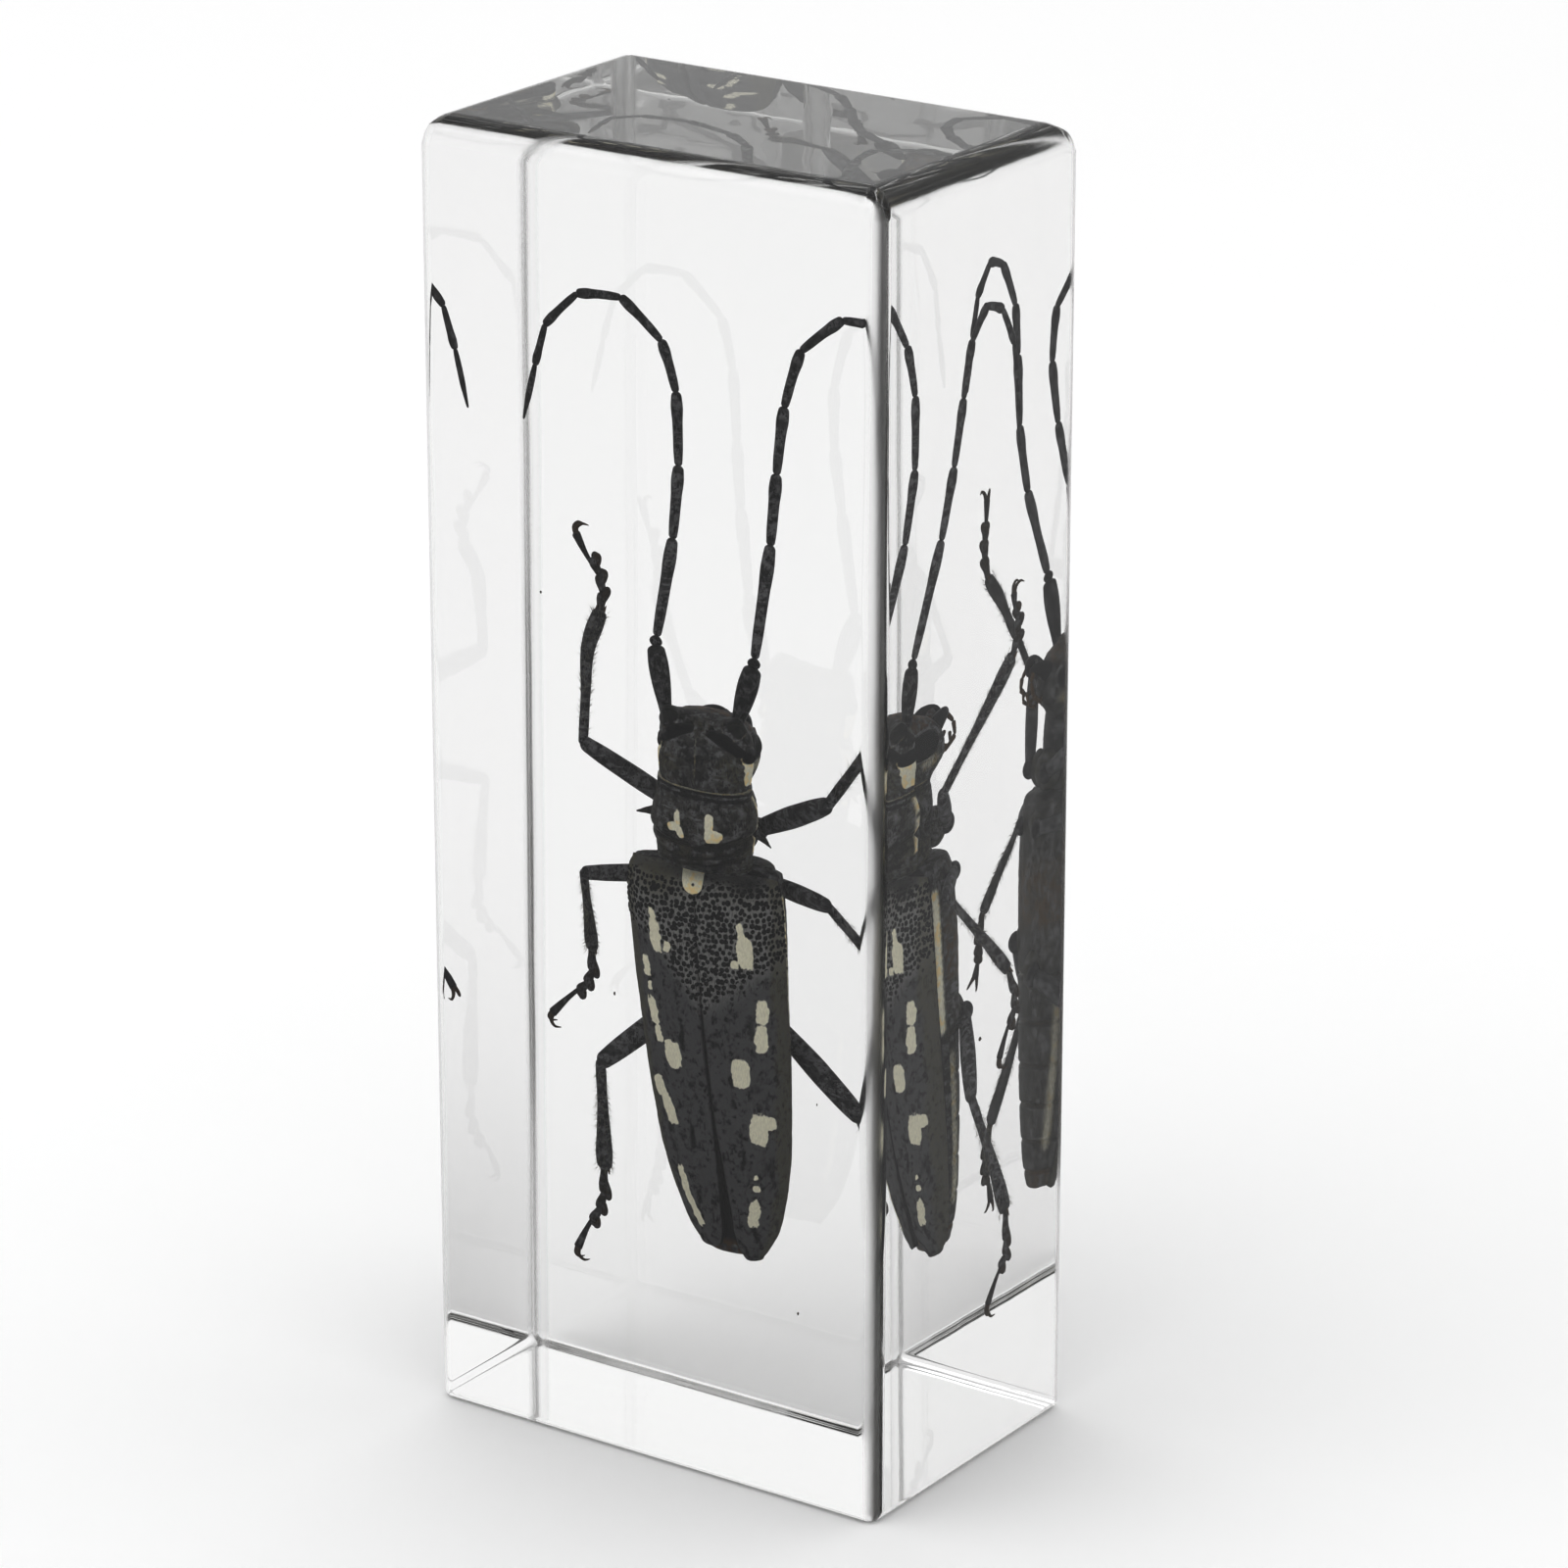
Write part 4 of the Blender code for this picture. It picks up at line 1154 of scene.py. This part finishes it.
def chitin_material(look):
    """Shared by all of the beetle: black chitin, under grey, olive and cream hair as its marks say."""
    if "beetle_chitin" in bpy.data.materials:
        return bpy.data.materials["beetle_chitin"]
    made, tree, where = new_material("beetle_chitin")
    fuzz, eye = mark(tree, "fuzz"), mark(tree, "eye")
    # Hair is left off where the chitin is hairless and, as painted shade, in the creases and seams, so that
    # the black shows there.
    chitin, hair = grown_skin(where, minus(fuzz, mark(tree, "bare"), clamp=True))
    pits = cells(where, 3.2)
    black = blend(chitin["Mottle"], look.black, toned(look.black, 1.7))
    colour = blend(ramp(mark(tree, "brown"), 0.1, 0.9), black, look.brown)
    colour = blend(times(mark(tree, "pad"), 0.8), colour, toned(look.brown, 0.6))

    crosswise = vectors("MULTIPLY", where, (0.5, 0.5, 3.2))
    worn = larger(ramp(noise(where, 1.3, 5.0), 0.42, 0.62), ramp(noise(crosswise, 1.0, 4.0), 0.50, 0.66))
    brightness = plus(0.65, times(worn, plus(1.15, times(ramp(fuzz, 0.38, 0.6), 0.7))))
    combed = times(hair["Mask"], ramp(pits, 0.12, 0.3))
    colour = blend(combed, colour, scaled(look.grey, brightness))
    olive = times(times(mark(tree, "olive"), ramp(hair["Height"], 0.32, 0.6)), ramp(pits, 0.06, 0.26))
    colour = blend(times(olive, minus(1.0, times(worn, 0.75))), colour, look.olive)

    soft = ramp(times(mark(tree, "cream"), plus(hair["Height"], 0.5)), 0.2, 0.8)
    cream = larger(ramp(mark(tree, "spot_depth"), 0.0, 0.07), soft)
    flecked = blend(ramp(hair["Height"], 0.25, 0.75), toned(look.cream, 0.80), look.cream)
    flecked = blend(ramp(noise(where, 1.2, 3.0), 0.48, 0.66), flecked, toned(look.cream, *STAIN))
    colour = blend(eye, blend(cream, colour, flecked), EYE_BLACK)

    roughness = plus(plus(0.34, times(hair["Mask"], 0.35)), times(cream, 0.25), clamp=True)
    height = plus(chitin["Height"], times(hair["Height"], 0.8))
    height = add("Mix", {0: eye, 2: height, 3: cells(where, 9.0)}, data_type="FLOAT").outputs[0]
    return dress(made, {
        "Base Color": colour, "Roughness": roughness, "Normal": relief(height, 0.5), "IOR": CHITIN_IOR})


def wing_material(look):
    """Wing cases: grey hair over black, black granules on ash-grey ground at the base, cream spots."""
    if "wing_case" in bpy.data.materials:
        return bpy.data.materials["wing_case"]
    made, tree, where = new_material("wing_case")
    patches = plus(noise(where, 0.9, 3.0), noise(where, 2.4, 3.0))
    chitin, hair = grown_skin(where, plus(-0.08, times(patches, 0.65)))
    colour = blend(chitin["Mottle"], look.black, toned(look.black, 2.6))
    colour = blend(hair["Mask"], colour, toned(look.grey, 1.4))
    colour = blend(times(mark(tree, "zone"), ramp(hair["Height"], 0.2, 0.62)), colour, look.ash)
    colour = blend(times(mark(tree, "olive"), ramp(hair["Height"], 0.25, 0.6)), colour, look.olive)
    colour = blend(ramp(mark(tree, "granule"), 0.05, 0.4), colour, look.black)
    # Black where the hair is rubbed off, and black as painted shade in the seams along the suture and the
    # margin.
    colour = blend(ramp(mark(tree, "bare"), 0.1, 0.9), colour, look.black)
    flecked = blend(ramp(hair["Height"], 0.25, 0.75), toned(look.cream, 0.82), look.cream)
    colour = blend(ramp(mark(tree, "spot_depth"), -0.02, 0.06), colour, flecked)
    height = plus(chitin["Height"], hair["Height"])
    return dress(made, {
        "Base Color": colour, "Roughness": plus(0.5, times(hair["Mask"], 0.25)),
        "Normal": relief(height, 0.45), "IOR": CHITIN_IOR})


def hair_material(look):
    return mottled_material(
        "fine_hair", 0.9, toned(look.olive, 0.9), toned(look.cream, 0.4), 0.6, IOR=CHITIN_IOR)


def speck_material(look):
    return mottled_material("speck", 6.0, look.black, look.brown, 0.8)


# How far past the flat part of each face, in mm, the haze starts in x, y and z, and then takes to rise
HAZE_STARTS = (0.95, 0.95, 0.3)
HAZE_RISE = 0.7


def edge_mask(where, look):
    """1 on the upright rounded edges and less on the level ones, where the polish is streaky."""
    away = vectors("ABSOLUTE", vectors("SUBTRACT", where, (BLOCK_LOW + BLOCK_HIGH) / 2))
    inner = (BLOCK_HIGH - BLOCK_LOW) / 2 - look.edge_radius / MM
    parts = add("SeparateXYZ", {0: vectors("SUBTRACT", away, inner)}).outputs
    near_x, near_y, near_z = (
        ramp(part, low, low + HAZE_RISE) for part, low in zip(parts, HAZE_STARTS))
    low_down = ramp(add("SeparateXYZ", {0: where}).outputs[2], 12.0, 6.0)
    level = times(times(near_z, larger(near_x, near_y)), minus(0.35, times(low_down, 0.25)))
    edge = larger(times(near_x, near_y), level)
    drawn_out = vectors("MULTIPLY", where, (2.5, 2.5, 0.04))
    return times(edge, plus(0.4, noise(drawn_out, 1.0, 2.0)))


def resin_material(look):
    """Clear resin: plain transmission and refraction, a faint tint by depth, a polish with slight waves."""
    made, tree, where = new_material("clear_resin_polished")
    rubbed = ramp(noise(where, 0.6, 4.0), 0.62, 0.8)
    roughness = plus(times(noise(where, 0.05, 3.0), 0.012), times(rubbed, 0.012))
    roughness = plus(roughness, times(edge_mask(where, look), look.edge_haze))
    waves = noise(vectors("MULTIPLY", where, (1.0, 1.0, 0.45)), 0.16, 1.0)
    depth = add("VolumeAbsorption", {"Color": look.tint, "Density": look.density}, tree)
    connect(depth.outputs[0], tree.nodes["Material Output"].inputs["Volume"])
    return dress(made, {
        "Base Color": (1.0, 1.0, 1.0), "Roughness": roughness, "Normal": relief(waves, look.waviness, 1 * MM),
        "Transmission Weight": 1.0, "IOR": look.ior})


# ---------------------------------------------------------------- operators

class PieceOperator(bpy.types.Operator):
    """What the operators share: they can be undone."""

    bl_options = {"REGISTER", "UNDO"}


# The share of the edge radius that the block's edges get, at the top, at its back and base, and elsewhere
TOP_SHARE, BACK_SHARE, FRONT_SHARE = 1.0, 0.35, 0.65


def weigh_edges(mesh):
    weights = mesh.attributes.new("bevel_weight_edge", "FLOAT", "EDGE")
    middle = (BLOCK_LOW + BLOCK_HIGH) / 2
    for edge in mesh.edges:
        ends = np.array([mesh.vertices[k].co for k in edge.vertices]) / MM - middle
        _, at_back, at_top = ends.min(0) > 0
        at_base = ends[:, 2].max() < 0
        share = TOP_SHARE if at_top else BACK_SHARE if at_back or at_base else FRONT_SHARE
        weights.data[edge.index].value = share


BLOCK_FACES = ((0, 1, 3, 2), (4, 6, 7, 5), (0, 4, 5, 1), (2, 3, 7, 6), (0, 2, 6, 4), (1, 5, 7, 3))
EDGE_SEGMENTS = 10


class RESIN_OT_block(PieceOperator):
    """Make the clear block that stands for both cast layers"""

    bl_idname = "resin.block"
    bl_label = "Clear block"

    def execute(self, context):
        look = context.scene.resin_block
        corners = np.array(list(np.ndindex(2, 2, 2)))
        points = BLOCK_LOW + corners * (BLOCK_HIGH - BLOCK_LOW)
        form = {"points": points, "quads": np.array(BLOCK_FACES), "tris": np.zeros((0, 3), int), "marks": {}}
        made = piece("resin_block", form, resin_material(look), "clear_resin", "resin_front", "resin_back")
        rounding = made.modifiers.new("Rounding", "BEVEL")
        rounding.width = look.edge_radius
        rounding.segments = EDGE_SEGMENTS
        rounding.limit_method = "WEIGHT"
        weigh_edges(made.data)
        rounding.harden_normals = True
        return {"FINISHED"}


class RESIN_OT_specks(PieceOperator):
    """Make the specks of dust in the resin"""

    bl_idname = "resin.specks"
    bl_label = "Specks"

    def execute(self, context):
        piece("specks", specks(), speck_material(context.scene.resin_beetle), "beetle_shell", "beetle")
        return {"FINISHED"}


def beetle_piece(context, name, form, material=chitin_material):
    """A piece that stands for part of the plain beetle. Spots are stored as depth inside their edge."""
    marks = form["marks"]
    marks["spot_depth"] = -marks.pop("spot") if "spot" in marks else np.full(len(form["points"]), -FAR)
    return piece(name, form, material(context.scene.resin_beetle), "beetle_shell", "beetle")


class RESIN_OT_wing_cases(PieceOperator):
    """Make both wing cases with their granules and spots"""

    bl_idname = "resin.wing_cases"
    bl_label = "Wing cases"

    def execute(self, context):
        for side, own in WINGS.items():
            beetle_piece(context, own.name, wing_case(side, context.scene.resin_beetle), wing_material)
        return {"FINISHED"}


class RESIN_OT_fore_body(PieceOperator):
    """Make the scutellum, pronotum, head and mouth parts"""

    bl_idname = "resin.fore_body"
    bl_label = "Fore body"

    def execute(self, context):
        beetle_piece(context, "scutellum", scutellum())
        beetle_piece(context, "pronotum", pronotum())
        beetle_piece(context, "head", head())
        beetle_piece(context, "mouth_parts", mouth_parts())
        return {"FINISHED"}


class RESIN_OT_underside(PieceOperator):
    """Make the hind breast and belly"""

    bl_idname = "resin.underside"
    bl_label = "Underside"

    def execute(self, context):
        beetle_piece(context, "underside", underside())
        return {"FINISHED"}


class RESIN_OT_limbs(PieceOperator):
    """Make the antennae, the legs and their fine hair"""

    bl_idname = "resin.limbs"
    bl_label = "Antennae and legs"

    def execute(self, context):
        for name, joints in ANTENNAE.items():
            beetle_piece(context, name, antenna(joints))
        for name, joints in LEGS.items():
            beetle_piece(context, name, leg(joints))
        hairs = merged([leg_hair(joints, 90 + k) for k, joints in enumerate(LEGS.values())])
        beetle_piece(context, "leg_hair", hairs, hair_material)
        return {"FINISHED"}


CLEAR_BOUNCES = 24
GLOSSY_BOUNCES = 12
# Places and sizes of the stage are in metres, the lens in mm
FLOOR_SIZE = 4.0
FLOOR_DROP = 0.05 * MM
LAMP_SIZE = 0.8
LAMP_PLACE = (-0.25, -0.5, 0.9)
LAMP_AIM = (0, 0, 0.05)
LENS = 152.0
SENSOR = 36.0
# The camera looks past the block's middle by these small angles, in degrees
AIM_LEFT, AIM_UP = 0.335, 0.025


class RESIN_OT_stage(PieceOperator):
    """Set the floor, the soft white light and the camera"""

    bl_idname = "resin.stage"
    bl_label = "Floor, light and camera"

    def execute(self, context):
        scene, look = context.scene, context.scene.resin_stage
        make_floor(look)
        make_light(context, look)
        scene.camera = make_camera(look)
        scene.view_settings.view_transform = "Standard"
        scene.view_settings.gamma = look.contrast_gamma
        scene.cycles.max_bounces = scene.cycles.transmission_bounces = CLEAR_BOUNCES
        scene.cycles.glossy_bounces = GLOSSY_BOUNCES
        return {"FINISHED"}


def make_floor(look):
    half = FLOOR_SIZE / 2
    corners = [(x, y, -FLOOR_DROP) for x, y in ((-half, -half), (half, -half), (half, half), (-half, half))]
    mesh = bpy.data.meshes.new("floor")
    mesh.from_pydata(corners, [], [(0, 1, 2, 3)])
    mesh.materials.append(mottled_material("floor", 0.01, toned(look.floor, 0.99), look.floor, 0.9))
    floor = bpy.data.objects.new("floor", mesh)
    bpy.context.scene.collection.objects.link(floor)
    return floor


def make_light(context, look):
    world = bpy.data.worlds.new("white surroundings")
    world.use_nodes = True
    background = world.node_tree.nodes["Background"]
    background.inputs["Color"].default_value = (1.0, 1.0, 1.0, 1.0)
    background.inputs["Strength"].default_value = look.sky
    context.scene.world = world
    lamp = bpy.data.lights.new("key", "AREA")
    lamp.energy = look.key
    lamp.shape = "DISK"
    lamp.size = LAMP_SIZE
    key = bpy.data.objects.new("key", lamp)
    key.location = LAMP_PLACE
    key.rotation_euler = (Vector(LAMP_AIM) - key.location).to_track_quat("-Z", "Y").to_euler()
    context.scene.collection.objects.link(key)


def looking_from(azimuth, elevation):
    """The direction from the block to a camera that looks at its front from the right and above."""
    level = math.cos(elevation)
    return Vector((math.sin(azimuth) * level, -math.cos(azimuth) * level, math.sin(elevation)))


def make_camera(look):
    lens = bpy.data.cameras.new("camera")
    lens.lens = LENS
    lens.sensor_width = SENSOR
    lens.clip_start = 0.01
    made = bpy.data.objects.new("camera", lens)
    middle = Vector((BLOCK_LOW + BLOCK_HIGH) / 2 * MM)
    aim = looking_from(look.azimuth - math.radians(AIM_LEFT), look.elevation + math.radians(AIM_UP))
    right = Vector((0, 0, 1)).cross(aim).normalized()
    frame_axes = Matrix((right, aim.cross(right), aim)).transposed().to_4x4()
    place = middle + looking_from(look.azimuth, look.elevation) * look.distance
    made.matrix_world = Matrix.Translation(place) @ frame_axes
    bpy.context.scene.collection.objects.link(made)
    return made


class RESIN_PT_panel(bpy.types.Panel):
    """Lists the pieces and their properties"""

    bl_label = "Resin Beetle"
    bl_idname = "RESIN_PT_panel"
    bl_space_type = "VIEW_3D"
    bl_region_type = "UI"
    bl_category = "Resin Beetle"

    def draw(self, context):
        layout = self.layout
        for name in ("resin_block", "resin_beetle", "resin_stage"):
            group = getattr(context.scene, name)
            box = layout.box()
            for key in group.bl_rna.properties.keys():
                if key not in ("rna_type", "name"):
                    box.prop(group, key)
        for operator in OPERATORS:
            layout.operator(operator.bl_idname)


GROUPS = {"resin_block": BlockLook, "resin_beetle": BeetleLook, "resin_stage": StageLook}
OPERATORS = (
    RESIN_OT_block, RESIN_OT_specks, RESIN_OT_wing_cases, RESIN_OT_fore_body, RESIN_OT_underside,
    RESIN_OT_limbs, RESIN_OT_stage,
)


def register():
    for kind in (*GROUPS.values(), *OPERATORS, RESIN_PT_panel):
        bpy.utils.register_class(kind)
    for name, kind in GROUPS.items():
        setattr(bpy.types.Scene, name, PointerProperty(type=kind))


def unregister():
    for name in GROUPS:
        delattr(bpy.types.Scene, name)
    for kind in (RESIN_PT_panel, *OPERATORS, *GROUPS.values()):
        bpy.utils.unregister_class(kind)


def main():
    register()
    bpy.ops.resin.block()
    bpy.ops.resin.specks()
    bpy.ops.resin.wing_cases()
    bpy.ops.resin.fore_body()
    bpy.ops.resin.underside()
    bpy.ops.resin.limbs()
    bpy.ops.resin.stage()


if __name__ == "__main__":
    main()
